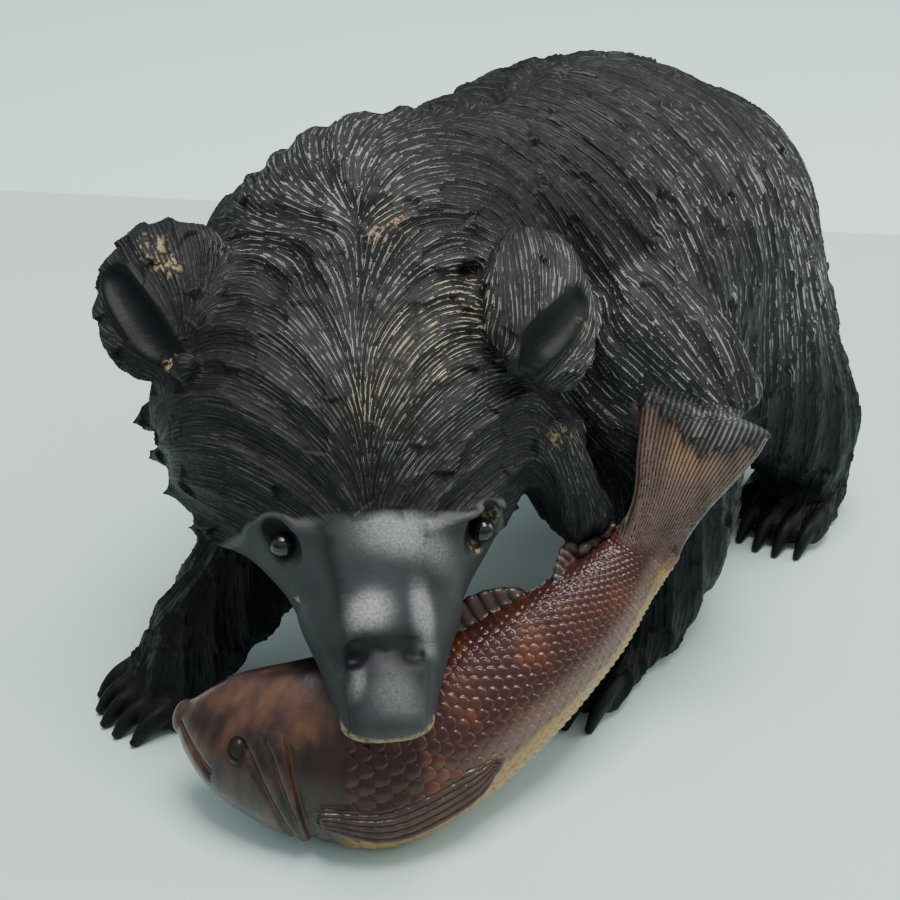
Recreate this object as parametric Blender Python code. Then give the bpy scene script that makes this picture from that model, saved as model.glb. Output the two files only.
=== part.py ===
"""Carved wooden bear that walks with a salmon in its mouth.

The bear faces -Y, its left side is +X, and it stands on the plane Z = 0, with the
middle of its outline over the origin.
Bear and salmon are one block of wood; the two glass eyes are pieces of their own.
All tables of places and radii are in carver's units, U, so that the figure keeps
its proportions when its length is changed.
"""

import math
import random

import bmesh
import bpy
import numpy as np
from mathutils import Matrix, Vector, bvhtree, kdtree

# Driving sizes, in metres
LENGTH = 0.313
EYE_DIAMETER = 0.0078
EYE_GAP = 0.0003

# One carver's unit: the tables below are drawn for a bear 313 units long
DRAWN_LENGTH = 313.0
U = LENGTH / DRAWN_LENGTH

# How finely the blank is cut before it is simplified, in units
BLANK_VOXEL = 2.0
BEAR_FACES = 6200
SALMON_FACES = 2000

# Broad gouge cuts of the fur, in units, the middling length of a stroke in steps of half a
# pitch, and the seed that scatters them
LOCK_PITCH = 11.0
STROKE_LENGTH = 4
LOCK_DEPTH = 2.0
SEED = 7

# A distance that stands for far away, in units
FAR = 60.0

# How deep the eye beads sit, and where the fur ends on the muzzle, measured along the head
EYE_SINK = 3.2
MUZZLE_EDGE = -37.5

# The head turns to the bear's left
HEAD_TURN = math.radians(45.5)
HEAD_BASE = np.array([-10.0, 7.0, 0.0])
HEAD_FORWARD = np.array([math.sin(HEAD_TURN), -math.cos(HEAD_TURN), 0.0])
HEAD_LEFT = np.array([math.cos(HEAD_TURN), math.sin(HEAD_TURN), 0.0])
UPRIGHT = np.array([0.0, 0.0, 1.0])


def head_point(side, forward, height):
    """A place on the head: side is towards the bear's left."""
    return HEAD_BASE + side * HEAD_LEFT + forward * HEAD_FORWARD + height * UPRIGHT


def unit(vector):
    vector = np.asarray(vector, float)
    return vector / np.linalg.norm(vector, axis=-1, keepdims=True)


def smooth_rows(rows, steps):
    """A Catmull-Rom curve through rows of numbers, with steps to each stretch."""
    rows = np.asarray(rows, float)
    padded = np.vstack([2 * rows[0] - rows[1], rows, 2 * rows[-1] - rows[-2]])
    made = []
    for i in range(len(rows) - 1):
        a, b, c, d = padded[i : i + 4]
        for t in np.arange(steps) / steps:
            made.append(
                0.5
                * (
                    2 * b
                    + (c - a) * t
                    + (2 * a - 5 * b + 4 * c - d) * t * t
                    + (3 * b - a - 3 * c + d) * t**3
                )
            )
    made.append(rows[-1])
    return np.array(made)


class Sweep:
    """A rounded body swept along a curve: each row is x, y, z, half width, half height.

    Half height is measured along the direction nearest to up, half width across it.
    """

    def __init__(self, rows, up=(0, 0, 1), axis=None, steps=5, blend=10.0, cap=1.0, taper=0, square=2):
        table = smooth_rows(rows, steps) if len(rows) > 2 else np.asarray(rows, float)
        self.centres, self.radii = table[:, :3], np.maximum(table[:, 3:5], 0.4)
        self.blend, self.cap, self.axis = blend, cap, axis
        self.taper, self.square = taper, square
        tangents = unit(np.gradient(self.centres, axis=0))
        if axis is not None:
            tangents = np.tile(unit(axis), (len(tangents), 1))
        up = np.asarray(up, float)
        if up.ndim == 2:
            up = smooth_rows(up, steps) if len(up) > 2 else up
        else:
            up = np.tile(up, (len(tangents), 1))
        self.across = unit(np.cross(tangents, up))
        self.up = unit(np.cross(self.across, tangents))
        self.tangents = tangents
        legs = np.linalg.norm(np.diff(self.centres, axis=0), axis=1)
        self.mileage = np.concatenate([[0], np.cumsum(legs)])
        self.length = self.mileage[-1]
        reach = self.radii.max() + blend + 10.0
        self.low = self.centres.min(0) - reach
        self.high = self.centres.max(0) + reach

    def local(self, points):
        """Where points lie beside the curve: across, up and past its end, with radii and place.

        Place runs from 0 to 1 along the curve, and is found so that each point lies in the
        plane that crosses the curve there.
        """
        starts, legs = self.centres[:-1], np.diff(self.centres, axis=0)
        lengths = np.linalg.norm(legs, axis=1)
        if self.axis is None:
            offset = points[:, None, :] - starts[None]
            share = np.clip((offset * legs).sum(2) / lengths**2, 0, 1)
            gap = ((offset - share[..., None] * legs) ** 2).sum(2)
            leg = gap.argmin(1)
            spot = leg + share[np.arange(len(points)), leg]
        else:
            marks = self.centres @ self.tangents[0]
            spot = np.interp(points @ self.tangents[0], marks, np.arange(len(marks)))
        for _ in range(3):
            leg = np.minimum(spot.astype(int), len(legs) - 1)
            t = (spot - leg)[:, None]

            def between(values):
                return values[leg] * (1 - t) + values[leg + 1] * t

            away = points - between(self.centres)
            along = (away * between(self.tangents)).sum(1)
            if self.axis is None:
                spot = np.clip(spot + np.clip(along / lengths[leg], -1, 1), 0, len(legs))
        past_end = (spot <= 0) | (spot >= len(legs))
        return (
            (away * between(self.across)).sum(1),
            (away * between(self.up)).sum(1),
            np.where(past_end, along, 0),
            between(self.radii),
            between(self.mileage[:, None])[:, 0] / self.length,
        )

    def distance(self, points):
        side, rise, along, radii, _ = self.local(points)
        width, height = radii[:, 0], radii[:, 1]
        end = np.minimum(width, height) * self.cap
        if self.taper:
            width = width * (1 - self.taper * np.clip(rise / height, -1, 1))
        power = self.square
        shares = np.abs([side / width, rise / height, along / end]) ** power
        k0 = shares.sum(0) ** (1 / power)
        slopes = np.abs([side / width**2, rise / height**2, along / end**2])
        k1 = (slopes**2).sum(0) ** 0.5
        if power != 2:
            round_k0 = ((side / width) ** 2 + (rise / height) ** 2 + (along / end) ** 2) ** 0.5
            k1 = k1 * k0 / np.maximum(round_k0, 1e-6)
        deep = -np.minimum(width, height)
        return np.where(k0 < 0.05, deep, k0 * (k0 - 1) / np.maximum(k1, 1e-6))


def ball(centre, radii, forward=(0, -1, 0), up=(0, 0, 1), blend=10.0):
    """An ellipsoid as a very short sweep: radii are across, up and along forward."""
    forward = unit(forward)
    centre = np.asarray(centre, float)
    end = 0.02 * forward
    rows = [
        [*(centre - end), radii[0], radii[1]],
        [*(centre + end), radii[0], radii[1]],
    ]
    return Sweep(rows, up=up, blend=blend, cap=radii[2] / min(radii[0], radii[1]))


def smooth_union(first, second, blend):
    h = np.maximum(blend - np.abs(first - second), 0) / blend
    return np.minimum(first, second) - h * h * blend / 4


def smooth_cut(body, cutter, blend):
    h = np.maximum(blend - np.abs(body + cutter), 0) / blend
    return np.maximum(body, -cutter) + h * h * blend / 4


def bear_masses():
    """Barrel of the body, hump and shoulders."""
    barrel = Sweep(
        [
            [-36, 34, 118, 46, 46],
            [-37, 58, 126, 48, 56],
            [-32, 78, 129, 56, 62],
            [-25, 95, 130, 65, 64],
            [-20, 118, 132, 67, 66],
            [-16, 145, 132, 66, 65],
            [-14, 170, 127, 60, 61],
            [-13, 190, 119, 51, 53],
        ],
        axis=(0, 1, 0),
        blend=10,
        cap=0.85,
    )
    hump = ball([-38, 44, 146], [51, 53, 43], blend=28)
    right_shoulder = ball([-66, 40, 118], [33, 42, 40], blend=20)
    left_shoulder = ball([28, 104, 108], [29, 38, 29], blend=14)
    skirt = Sweep(
        [
            [34, 88, 142, 18, 12],
            [48, 95, 130, 17, 10],
            [58, 99, 119, 15, 8],
            [66, 103, 111, 11, 5],
        ],
        up=(0.65, -0.57, 0.5),
        blend=6,
    )
    rump = ball([-12, 182, 106], [44, 44, 40], blend=30)
    stub_tail = ball([-11, 232, 104], [9, 13, 7], up=(0, 0.5, 0.86), blend=6)
    throat = Sweep([[24, 54, 107, 13, 13], [36, 58, 80, 11, 11]], blend=10)
    return [barrel, hump, right_shoulder, left_shoulder, skirt, rump, stub_tail, throat]


def leg_masses():
    right_fore = Sweep(
        [
            [-60, 40, 112, 30, 36],
            [-59, 20, 78, 27, 28],
            [-57, -4, 48, 22, 21],
            [-63, -26, 26, 19, 17],
            [-67, -36, 12, 18, 14],
        ],
        blend=10,
    )
    left_fore = Sweep(
        [
            [18, 108, 114, 32, 34],
            [27, 112, 90, 33, 32],
            [33, 112, 60, 32, 31],
            [37, 104, 34, 28, 25],
            [39, 92, 14, 23, 17],
        ],
        blend=12,
    )
    left_hind = Sweep(
        [
            [8, 172, 100, 34, 40],
            [28, 182, 74, 32, 37],
            [43, 200, 44, 25, 27],
            [47, 208, 20, 20, 18],
        ],
        blend=26,
    )
    right_hind = Sweep(
        [
            [-36, 174, 100, 34, 40],
            [-56, 190, 74, 32, 37],
            [-70, 212, 44, 24, 26],
            [-72, 218, 20, 20, 18],
        ],
        blend=26,
    )
    return [right_fore, left_fore, left_hind, right_hind]


PAWS = {
    "right_fore": ((-67, -38), (-71, -52), 17.5, 13),
    "left_fore": ((40, 88), (42, 50), 19, 15),
    "left_hind": ((48, 210), (50, 180), 19.5, 14),
    "right_hind": ((-72, 220), (-72, 188), 19.5, 14),
}
TOES = 5


def paw_masses():
    """Each paw is a low pad with five toes, and a claw that hooks down from each toe."""
    pads, claws = [], []
    for heel, front, half_width, height in PAWS.values():
        heel, front = np.array(heel, float), np.array(front, float)
        ahead = unit(front - heel)
        aside = np.array([-ahead[1], ahead[0]])
        pads.append(
            Sweep(
                [
                    [*heel, height * 0.5, half_width * 0.9, height * 0.75],
                    [*((heel + front) / 2), height * 0.48, half_width, height * 0.7],
                    [*(front - ahead * 3), height * 0.42, half_width * 0.94, height * 0.58],
                ],
                blend=8,
            )
        )
        for i in range(TOES):
            share = (i - (TOES - 1) / 2) / ((TOES - 1) / 2)
            root = front + aside * share * half_width * 0.8 - ahead * 5 * share**2
            width = half_width / TOES * 0.98
            pads.append(
                Sweep(
                    [
                        [*(root - ahead * 8), height * 0.55, width, height * 0.42],
                        [*(root + ahead * 1), height * 0.5, width, height * 0.36],
                    ],
                    blend=2.5,
                )
            )
            claws.append(
                Sweep(
                    [
                        [*(root - ahead * 4), height * 0.78, width * 0.6, 3.0],
                        [*(root + ahead * 4), height * 0.66, width * 0.75, 3.6],
                        [*(root + ahead * 9), height * 0.40, width * 0.62, 3.4],
                        [*(root + ahead * 13), 1.5, width * 0.38, 2.2],
                    ],
                    blend=1.5,
                )
            )
    return pads, claws


HEAD_UP = 0.6 * HEAD_FORWARD + 0.8 * UPRIGHT
HEAD_AXIS = 0.8 * HEAD_FORWARD - 0.6 * UPRIGHT
EYE_OUTWARD = unit([0.5, -0.6, 0.6])


# The ridge over each eye, as places on the head: side, forward and height
BROW = ((15, 37.0, 108.5), (24, 34.5, 108.5), (33, 29.0, 107.5), (41, 21.0, 103.0))


def head_masses():
    rows = [
        (-4, -62, 132, 52, 48),
        (-4, -36, 128, 60, 48),
        (-4, -10, 114, 63, 46),
        (-3, 10, 98, 50, 35),
        (0, 24, 86, 36, 27),
        (1, 36, 78, 25, 20),
    ]
    skull = Sweep(
        [[*head_point(s, f, z), w, h] for s, f, z, w, h in rows],
        up=HEAD_UP,
        axis=HEAD_AXIS,
        blend=10,
    )
    rows = [
        (8, 94, 30, 26),
        (34, 80, 25, 21),
        (54, 68, 18.2, 16),
        (66, 61, 14, 12.5),
    ]
    muzzle = Sweep(
        [[*head_point(1, f, z), w, h] for f, z, w, h in rows],
        up=HEAD_UP,
        axis=HEAD_AXIS,
        blend=5,
        taper=0.3,
        square=2.6,
        cap=0.7,
    )
    jaw = Sweep(
        [
            [*head_point(0, -12, 76), 26, 13],
            [*head_point(0, 8, 62), 19, 9],
            [*head_point(0, 27, 49), 12, 7],
        ],
        up=HEAD_UP,
        blend=5,
    )
    brows = [
        Sweep(
            [[*head_point(side * s + 1.5, f, z), 1.6, 1.2] for s, f, z in BROW],
            up=HEAD_UP,
            blend=3,
        )
        for side in (-1, 1)
    ]
    return [skull, muzzle, jaw] + brows + cheek_tufts()


def cheek_tufts():
    """Pointed locks that stand off the cheeks."""
    tufts = []
    rows = ((-28, 110, 72, 8), (-16, 103, 67, 6), (-4, 97, 62, 5), (8, 91, 54, 4))
    for side, centre in ((-1, -4), (1, -6)):
        for f, z, reach, drop in rows:
            root = head_point(centre + side * (reach - 22), f + 6, z + 5)
            tip = head_point(centre + side * reach, f - 2, z - drop * 0.5)
            tufts.append(
                Sweep([[*root, 11, 10], [*((root + tip) / 2), 7.5, 7], [*tip, 1.2, 1.2]], blend=4)
            )
    return tufts


def ear_masses():
    places = ((-1, -59, -26, 154, 23, 0.1), (1, 54.5, -4, 158, 20, 0.5))
    ears = []
    for side, s, f, z, width, outward in places:
        normal = unit(0.7 * HEAD_FORWARD + 0.65 * UPRIGHT + side * outward * HEAD_LEFT)
        lean = unit(0.65 * HEAD_FORWARD - 0.7 * UPRIGHT + side * 0.1 * HEAD_LEFT)
        ears.append(ball(head_point(s, f, z), [width, 9.5, 26], forward=lean, up=normal, blend=6))
    for place in ((-53, 0.5, 145), (45.5, 13, 151)):
        ears.append(ball(head_point(*place), [4.5, 4.5, 5], blend=2))
    return ears


FISH_BACK = (-0.35, 0.38, 0.85)
FISH = Sweep(
    [
        [-29, -63, 35, 4, 6],
        [-23, -61, 34, 8.5, 13],
        [-13, -57, 33, 12, 21],
        [6, -46, 31, 15, 29],
        [24, -30, 30, 16, 33],
        [35, -13, 32, 15.5, 29],
        [42, 1, 36, 14.5, 25],
        [49, 23, 45, 13, 21.5],
        [53, 45, 53, 11, 18],
        [55, 61, 61, 8, 13.5],
        [58, 71, 70, 6, 11],
    ],
    up=FISH_BACK,
    blend=2.5,
    steps=3,
)
GILL = 0.225
SCALES_ACROSS = 13
SCALE_DEPTH = 0.9
SCALE_RINGS = np.concatenate(
    [[0], np.cumsum(np.diff(FISH.mileage) / (1.55 * FISH.radii[1:].sum(1) / SCALES_ACROSS))]
)


def on_fish(u, v, lift=0.0):
    """A place on the salmon's outer flank: u runs from nose to tail, v from belly to back."""
    spot = np.interp(u, FISH.mileage / FISH.length, np.arange(len(FISH.centres)))

    def at(values):
        low = min(int(spot), len(values) - 2)
        return values[low] + (spot - low) * (values[low + 1] - values[low])

    width, height = at(FISH.radii)
    bulge = width * math.sqrt(max(0, 1 - v * v)) + lift
    return at(FISH.centres) + at(FISH.up) * v * height + at(FISH.across) * bulge


def scale_height(row, column):
    """The height, 0 to 1, of overlapping scales laid on a staggered lattice of unit pitch.

    Row counts from head to tail. A scale nearer the head lies over the next, and each one
    rises towards its free edge.
    """
    height = np.zeros_like(row)
    covered = np.zeros(row.shape, bool)
    first = np.floor(row)
    for back in (2, 1, 0, -1):
        centre_row = first - back
        shift = 0.5 * (centre_row % 2)
        across = column - shift - np.round(column - shift)
        ahead = row - centre_row
        inside = (ahead / 1.25) ** 2 + (across / 0.62) ** 2 < 1
        lying = np.clip(0.35 + 0.5 * ahead - 0.7 * across**2, 0, 1)
        height = np.where(inside & ~covered, lying, height)
        covered |= inside
    return height


def fish_relief(u, v):
    """How far the salmon's flank stands proud of its smooth body: gill cover, mouth and eye."""
    edge = GILL + 0.03 * (1 - v**2) - 0.02 * v
    cover = (
        1.4 * np.exp(-np.maximum(edge - u, 0) / 0.03)
        - (1.4 + 1.2 * np.exp(-np.maximum(u - edge, 0) / 0.02))
        * np.clip((u - edge) / 0.008, 0, 1)
    )
    fore_edge = edge - 0.07 - 0.02 * v**2
    fore_cover = -0.9 * np.exp(-(((u - fore_edge) / 0.009) ** 2)) * (np.abs(v + 0.1) < 0.75)
    lips = -1.3 * np.exp(-(((v + 0.1 + 6 * u) / 0.10) ** 2)) * (u < 0.085)
    from_eye = np.hypot((u - 0.115) * FISH.length, (v + 0.22) * 21)
    eye = -1.0 * np.exp(-(((from_eye - 3.3) / 0.8) ** 2)) + 0.5 * np.exp(-((from_eye / 2) ** 2))
    ring = np.interp(u, FISH.mileage / FISH.length, SCALE_RINGS)
    scaled = np.clip((u - edge - 0.012) / 0.01, 0, 1) * np.clip((0.99 - u) / 0.03, 0, 1)
    scales = scale_height(ring, np.arcsin(np.clip(v, -1, 1)) / math.pi * SCALES_ACROSS)
    return cover + fore_cover + lips + eye + scaled * SCALE_DEPTH * (scales - 0.5)


def fish_masses():
    """The salmon: body, tail and fins, and the lips that end the head."""
    tail = Sweep(
        [
            (58, 68, 67, 5.5, 10),
            (60, 76, 82, 4.5, 12),
            (61, 83, 95, 4, 17),
            (62, 89, 106, 3.4, 21),
            (62, 92, 111, 3, 22),
        ],
        up=(-0.76, -0.48, 0.43),
        blend=3,
        cap=0.6,
        square=3,
    )
    back_fin = Sweep(
        [
            [*on_fish(0.50, 0.8, -6), 2.2, 5],
            [*on_fish(0.58, 0.98, -6), 2.2, 9],
            [*on_fish(0.68, 1.05, -4), 2.0, 7],
            [*on_fish(0.74, 1.0, -3), 1.8, 3],
        ],
        up=FISH_BACK,
        blend=2,
    )
    small_fin = Sweep(
        [
            [*on_fish(0.80, 0.9, -4), 1.8, 3],
            [*on_fish(0.86, 1.15, -3), 1.8, 4],
            [*on_fish(0.90, 1.35, -2), 1.6, 2],
        ],
        up=FISH_BACK,
        blend=2,
    )
    breast_fin = Sweep(
        [
            [*on_fish(0.27, -0.62, -0.5), 2.2, 4],
            [*on_fish(0.36, -0.66, 0.3), 2.2, 6.5],
            [*on_fish(0.47, -0.62, 0.3), 1.9, 6],
            [*on_fish(0.53, -0.55, -0.3), 1.5, 2],
        ],
        up=FISH_BACK,
        blend=1,
    )
    return [tail, back_fin, small_fin, breast_fin]


TRUNK = bear_masses()
BARREL, HUMP, RIGHT_SHOULDER, LEFT_SHOULDER, SKIRT, RUMP, STUB_TAIL, THROAT = TRUNK
LEGS = leg_masses()
PADS, CLAWS = paw_masses()
SKULL, MUZZLE, JAW, *RELIEFS = head_masses()
EARS = ear_masses()
FINS = fish_masses()
FURRED = TRUNK + LEGS + PADS + [SKULL, JAW, *RELIEFS, *EARS]
ALL_MASSES = FURRED + CLAWS + [MUZZLE] + FINS


def ear_cuts():
    """The smooth hollow along the outer edge of each ear, and the pit where its fur parts."""
    cuts = []
    for trough in (
        ((-76, -27, 162, 5.5), (-70, -17.5, 156, 6.5), (-64, -10.5, 149, 6.5), (-58, -5, 143, 4.5)),
        ((67, -1, 161, 5), (60, 7.5, 158.5, 6.5), (53, 13, 155, 6.5), (48.5, 15.5, 149, 4)),
    ):
        facing = unit(0.7 * HEAD_FORWARD + 0.65 * UPRIGHT)
        cuts.append(
            Sweep(
                [[*(head_point(*place) + facing * 2), r, r * 0.8] for *place, r in trough],
                up=facing,
                blend=1.5,
            )
        )
    cuts.append(ball(head_point(33, -14, 166), [5, 3.5, 9], forward=(0.5, -0.6, 0.6), blend=9))
    cuts.append(ball(head_point(-25, -12, 169), [6, 6, 6], forward=(0.5, -0.6, 0.6), blend=8))
    return cuts


def face_cuts():
    """Eye sockets, nostrils and the crease above the nose pad."""
    cuts = []
    for side, eye in EYES.items():
        slit = unit(0.75 * HEAD_FORWARD - 0.55 * UPRIGHT - side * 0.35 * HEAD_LEFT)
        cuts.append(
            ball(eye + EYE_OUTWARD * 1.5, [5.0, 6.5, 8.5], forward=slit, up=EYE_OUTWARD, blend=2.5)
        )
        nostril = land(head_point(1 + side * 10, 62, 82), HEAD_UP)
        cuts.append(ball(nostril, [2.2, 2.4, 2.8], up=HEAD_UP, blend=2))
    crease = [land(head_point(1 + s, 61, 82), HEAD_UP) for s in (-15, -6, 6, 15)]
    cuts.append(Sweep([[*c, 1.6, 0.7] for c in crease], up=HEAD_UP, blend=5))
    return cuts


def distance_to_masses(points):
    """Signed distance from the points to the carving before its hollows are cut."""
    total = np.full(len(points), FAR)
    for mass in ALL_MASSES:
        near = ((points > mass.low) & (points < mass.high)).all(1)
        if near.any():
            total[near] = smooth_union(total[near], mass.distance(points[near]), mass.blend)
    near = ((points > FISH.low) & (points < FISH.high)).all(1)
    if near.any():
        side, rise, _, radii, place = FISH.local(points[near])
        flank = FISH.distance(points[near])
        shown = (side > -4) & (place > 0) & (place < 1)
        flank = flank - np.where(shown, fish_relief(place, rise / radii[:, 1]), 0)
        total[near] = smooth_union(total[near], flank, FISH.blend)
    return total


def distance_to_carving(points):
    """Signed distance from the points to the carved surface, in units."""
    total = distance_to_masses(points)
    for cut in ALL_CUTS:
        near = ((points > cut.low) & (points < cut.high)).all(1)
        if near.any():
            total[near] = smooth_cut(total[near], cut.distance(points[near]), cut.blend)
    return total


def land(point, outward, reach=40):
    """The surface point met when coming in from outside, against outward, through a point."""
    place = np.asarray(point, float) + unit(outward) * reach
    for _ in range(60):
        place = place - unit(outward) * max(distance_to_masses(place[None])[0], -1) * 0.7
    return place


EYES = {
    -1: land(head_point(-28, 33.7, 102.5), EYE_OUTWARD) - EYE_OUTWARD,
    1: land(head_point(33.5, 29.5, 100), EYE_OUTWARD) - EYE_OUTWARD,
}
ALL_CUTS = ear_cuts() + face_cuts()


def field_grid(voxel, low, high):
    """Distances on a grid: worked out coarsely first, then finely near the surface only."""
    steps = 4
    count = np.ceil((high - low) / (steps * voxel)).astype(int) + 1

    def sampled(size, shape, chosen=None):
        index = np.argwhere(np.ones(shape, bool) if chosen is None else chosen)
        return distance_to_carving(low + index * size)

    coarse = sampled(steps * voxel, count).reshape(count)
    fine = coarse
    for axis in range(3):
        spot = np.arange((count[axis] - 1) * steps + 1) / steps
        lower = np.minimum(spot.astype(int), count[axis] - 2)
        share = (spot - lower).reshape([-1 if i == axis else 1 for i in range(3)])
        fine = np.take(fine, lower, axis) * (1 - share) + np.take(fine, lower + 1, axis) * share
    near = np.abs(fine) < steps * voxel * 1.4
    fine[near] = sampled(voxel, fine.shape, near)
    return fine


def rough_blank(voxel):
    """The carving's form cut from a grid: one point in each cell the surface passes through."""
    low = np.min([mass.low for mass in ALL_MASSES], 0)
    high = np.max([mass.high for mass in ALL_MASSES], 0)
    field = field_grid(voxel, low, high)
    cells = np.array(field.shape) - 1
    places, owners, quads = [], [], []
    for axis in range(3):
        b, c = (axis + 1) % 3, (axis + 2) % 3
        ends = np.arange(cells[axis])
        lower, upper = np.take(field, ends, axis), np.take(field, ends + 1, axis)
        spots = np.argwhere((lower < 0) != (upper < 0))
        lower, upper = lower[tuple(spots.T)], upper[tuple(spots.T)]
        place = spots.astype(float)
        place[:, axis] += lower / (lower - upper)
        around = []
        for step_b, step_c in ((0, 0), (1, 0), (1, 1), (0, 1)):
            cell = spots.copy()
            cell[:, b] -= step_b
            cell[:, c] -= step_c
            around.append(np.ravel_multi_index(cell.T, cells))
            places.append(place)
            owners.append(around[-1])
        quad = np.stack(around, 1)
        quads.append(np.where((lower < 0)[:, None], quad, quad[:, ::-1]))
    numbers, index = np.unique(np.concatenate(owners), return_inverse=True)
    places = np.concatenate(places)
    count = np.bincount(index)
    points = np.stack([np.bincount(index, places[:, i]) / count for i in range(3)], 1)
    faces = np.searchsorted(numbers, np.concatenate(quads))
    mesh = bpy.data.meshes.new("blank")
    mesh.from_pydata((low + points * voxel).tolist(), [], faces.tolist())
    blank = bpy.data.objects.new("blank", mesh)
    bpy.context.scene.collection.objects.link(blank)
    fuse = blank.modifiers.new("fuse", "REMESH")
    fuse.mode = "VOXEL"
    fuse.voxel_size = voxel
    return apply_modifiers(blank)


def apply_modifiers(obj):
    graph = bpy.context.evaluated_depsgraph_get()
    mesh = bpy.data.meshes.new_from_object(obj.evaluated_get(graph))
    obj.modifiers.clear()
    old, obj.data = obj.data, mesh
    bpy.data.meshes.remove(old)
    return obj


def coordinates(mesh):
    flat = np.empty(len(mesh.vertices) * 3)
    mesh.vertices.foreach_get("co", flat)
    return flat.reshape(-1, 3)


def normals(mesh):
    flat = np.empty(len(mesh.vertices) * 3)
    mesh.vertex_normals.foreach_get("vector", flat)
    return flat.reshape(-1, 3)


def relaxed(points, edges, share=0.5):
    """Each point moved part of the way to the middle of its neighbours."""
    a, b = edges[:, 0], edges[:, 1]
    count = np.bincount(a, minlength=len(points)) + np.bincount(b, minlength=len(points))
    middle = np.empty_like(points)
    for axis in range(3):
        middle[:, axis] = np.bincount(a, points[b, axis], len(points)) + np.bincount(
            b, points[a, axis], len(points)
        )
    middle /= count[:, None]
    return points + share * (middle - points)


def fit_to_carving(mesh, rounds=6):
    """Moves the blank's points onto the carved surface, keeping them evenly spread."""
    edges = np.empty(len(mesh.edges) * 2, int)
    mesh.edges.foreach_get("vertices", edges)
    edges = edges.reshape(-1, 2)
    start = points = coordinates(mesh)
    for step in range(rounds):
        if step < rounds - 2:
            points = relaxed(points, edges)
        for _ in range(2):
            mesh.vertices.foreach_set("co", points.ravel())
            mesh.update()
            gap = np.clip(distance_to_carving(points), -3.0, 3.0)
            points = points - normals(mesh) * gap[:, None]
            strayed = np.linalg.norm(points - start, axis=1) > 1.5 * BLANK_VOXEL
            points[strayed] = start[strayed]
    mesh.vertices.foreach_set("co", points.ravel())
    mesh.update()


def gap_to(mass, points):
    """Distance to one mass, worked out only near it: further off it is simply far."""
    gap = np.full(len(points), FAR)
    near = ((points > mass.low) & (points < mass.high)).all(1)
    if near.any():
        gap[near] = mass.distance(points[near])
    return gap


def nearest(points, masses):
    return np.min([gap_to(mass, points) for mass in masses], 0)


def share_of_fur(points):
    """1 where the carving is furred, 0 on claws, salmon, bare muzzle, ear hollows and sockets."""
    fur = nearest(points, FURRED)
    bare = np.minimum(nearest(points, CLAWS), nearest(points, FINS + [FISH]))
    share = np.clip((bare - fur) / 2 + 0.3, 0, 1)
    forward = (points - HEAD_BASE) @ HEAD_AXIS
    on_head = nearest(points, [SKULL, MUZZLE]) < fur + 6
    share = np.where(on_head, share * np.clip((MUZZLE_EDGE - forward) / 3, 0, 1), share)
    for cut in ALL_CUTS:
        share *= np.clip(gap_to(cut, points) / 2 - 0.4, 0, 1)
    for side, eye in EYES.items():
        under_brow = head_point(side * 34 + 1.5, 33, 99)
        from_eye = np.minimum(*(np.linalg.norm(points - spot, axis=1) for spot in (eye, under_brow)))
        share *= np.clip((from_eye - 9) / 2, 0, 1)
    return share


def lie_of_fur(points):
    """The way the hair runs: each mass has its own lie, and they mix where masses meet."""
    side = (points - HEAD_BASE) @ HEAD_LEFT
    outward = np.tanh(side / 5)
    away = np.clip(np.abs(side) / 48, 0, 1.4)
    down = np.array([0, 0, -1.0])

    def mixed(*terms):
        return sum(np.atleast_1d(amount)[:, None] * np.asarray(way)[None] for amount, way in terms)

    def towards(goal):
        return unit(np.asarray(goal) - points)

    head = mixed(
        (-np.maximum(1.1 - 0.8 * away, 0.1), HEAD_AXIS),
        (1.2 * outward * away, HEAD_LEFT),
        (1.3 * np.clip(away - 0.75, 0, 1), down),
    )
    flank = (points[:, 0] + 16) / 62
    rearward = np.clip((points[:, 1] - 150) / 50, 0, 1.6)
    body = mixed((1, (0, 1, 0)), (0.15 + 0.7 * flank**2 + rearward, down))
    hump = mixed((0.5 * np.tanh((points[:, 0] + 36) / 10), (1, 0, 0)), (1, (0, 0.9, -0.35)))
    leg = mixed((np.ones(len(points)), (0, 0.1, -1)))
    paw = mixed((np.ones(len(points)), (0, -0.8, -0.6)))
    lies = [(mass, body) for mass in (BARREL, RUMP, STUB_TAIL)]
    lies += [(HUMP, hump), (RIGHT_SHOULDER, 0.5 * body + 0.8 * leg), (THROAT, leg)]
    lies += [(mass, towards(SKIRT.centres[-1] + [2, 2, -6])) for mass in (LEFT_SHOULDER, SKIRT)]
    lies += [(mass, leg) for mass in LEGS] + [(mass, paw) for mass in PADS]
    lies += [(mass, head) for mass in (SKULL, JAW, *RELIEFS)]
    roots = (head_point(-44, -6, 138), head_point(44, 2, 138))
    lies += [(ear, towards(root)) for ear, root in zip(EARS, roots)]
    gaps = np.array([gap_to(mass, points) for mass, _ in lies])
    weights = np.exp(-(gaps - gaps.min(0)) / 5)
    return unit(sum(w[:, None] * unit(lie) for w, (_, lie) in zip(weights, lies)))


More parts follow.
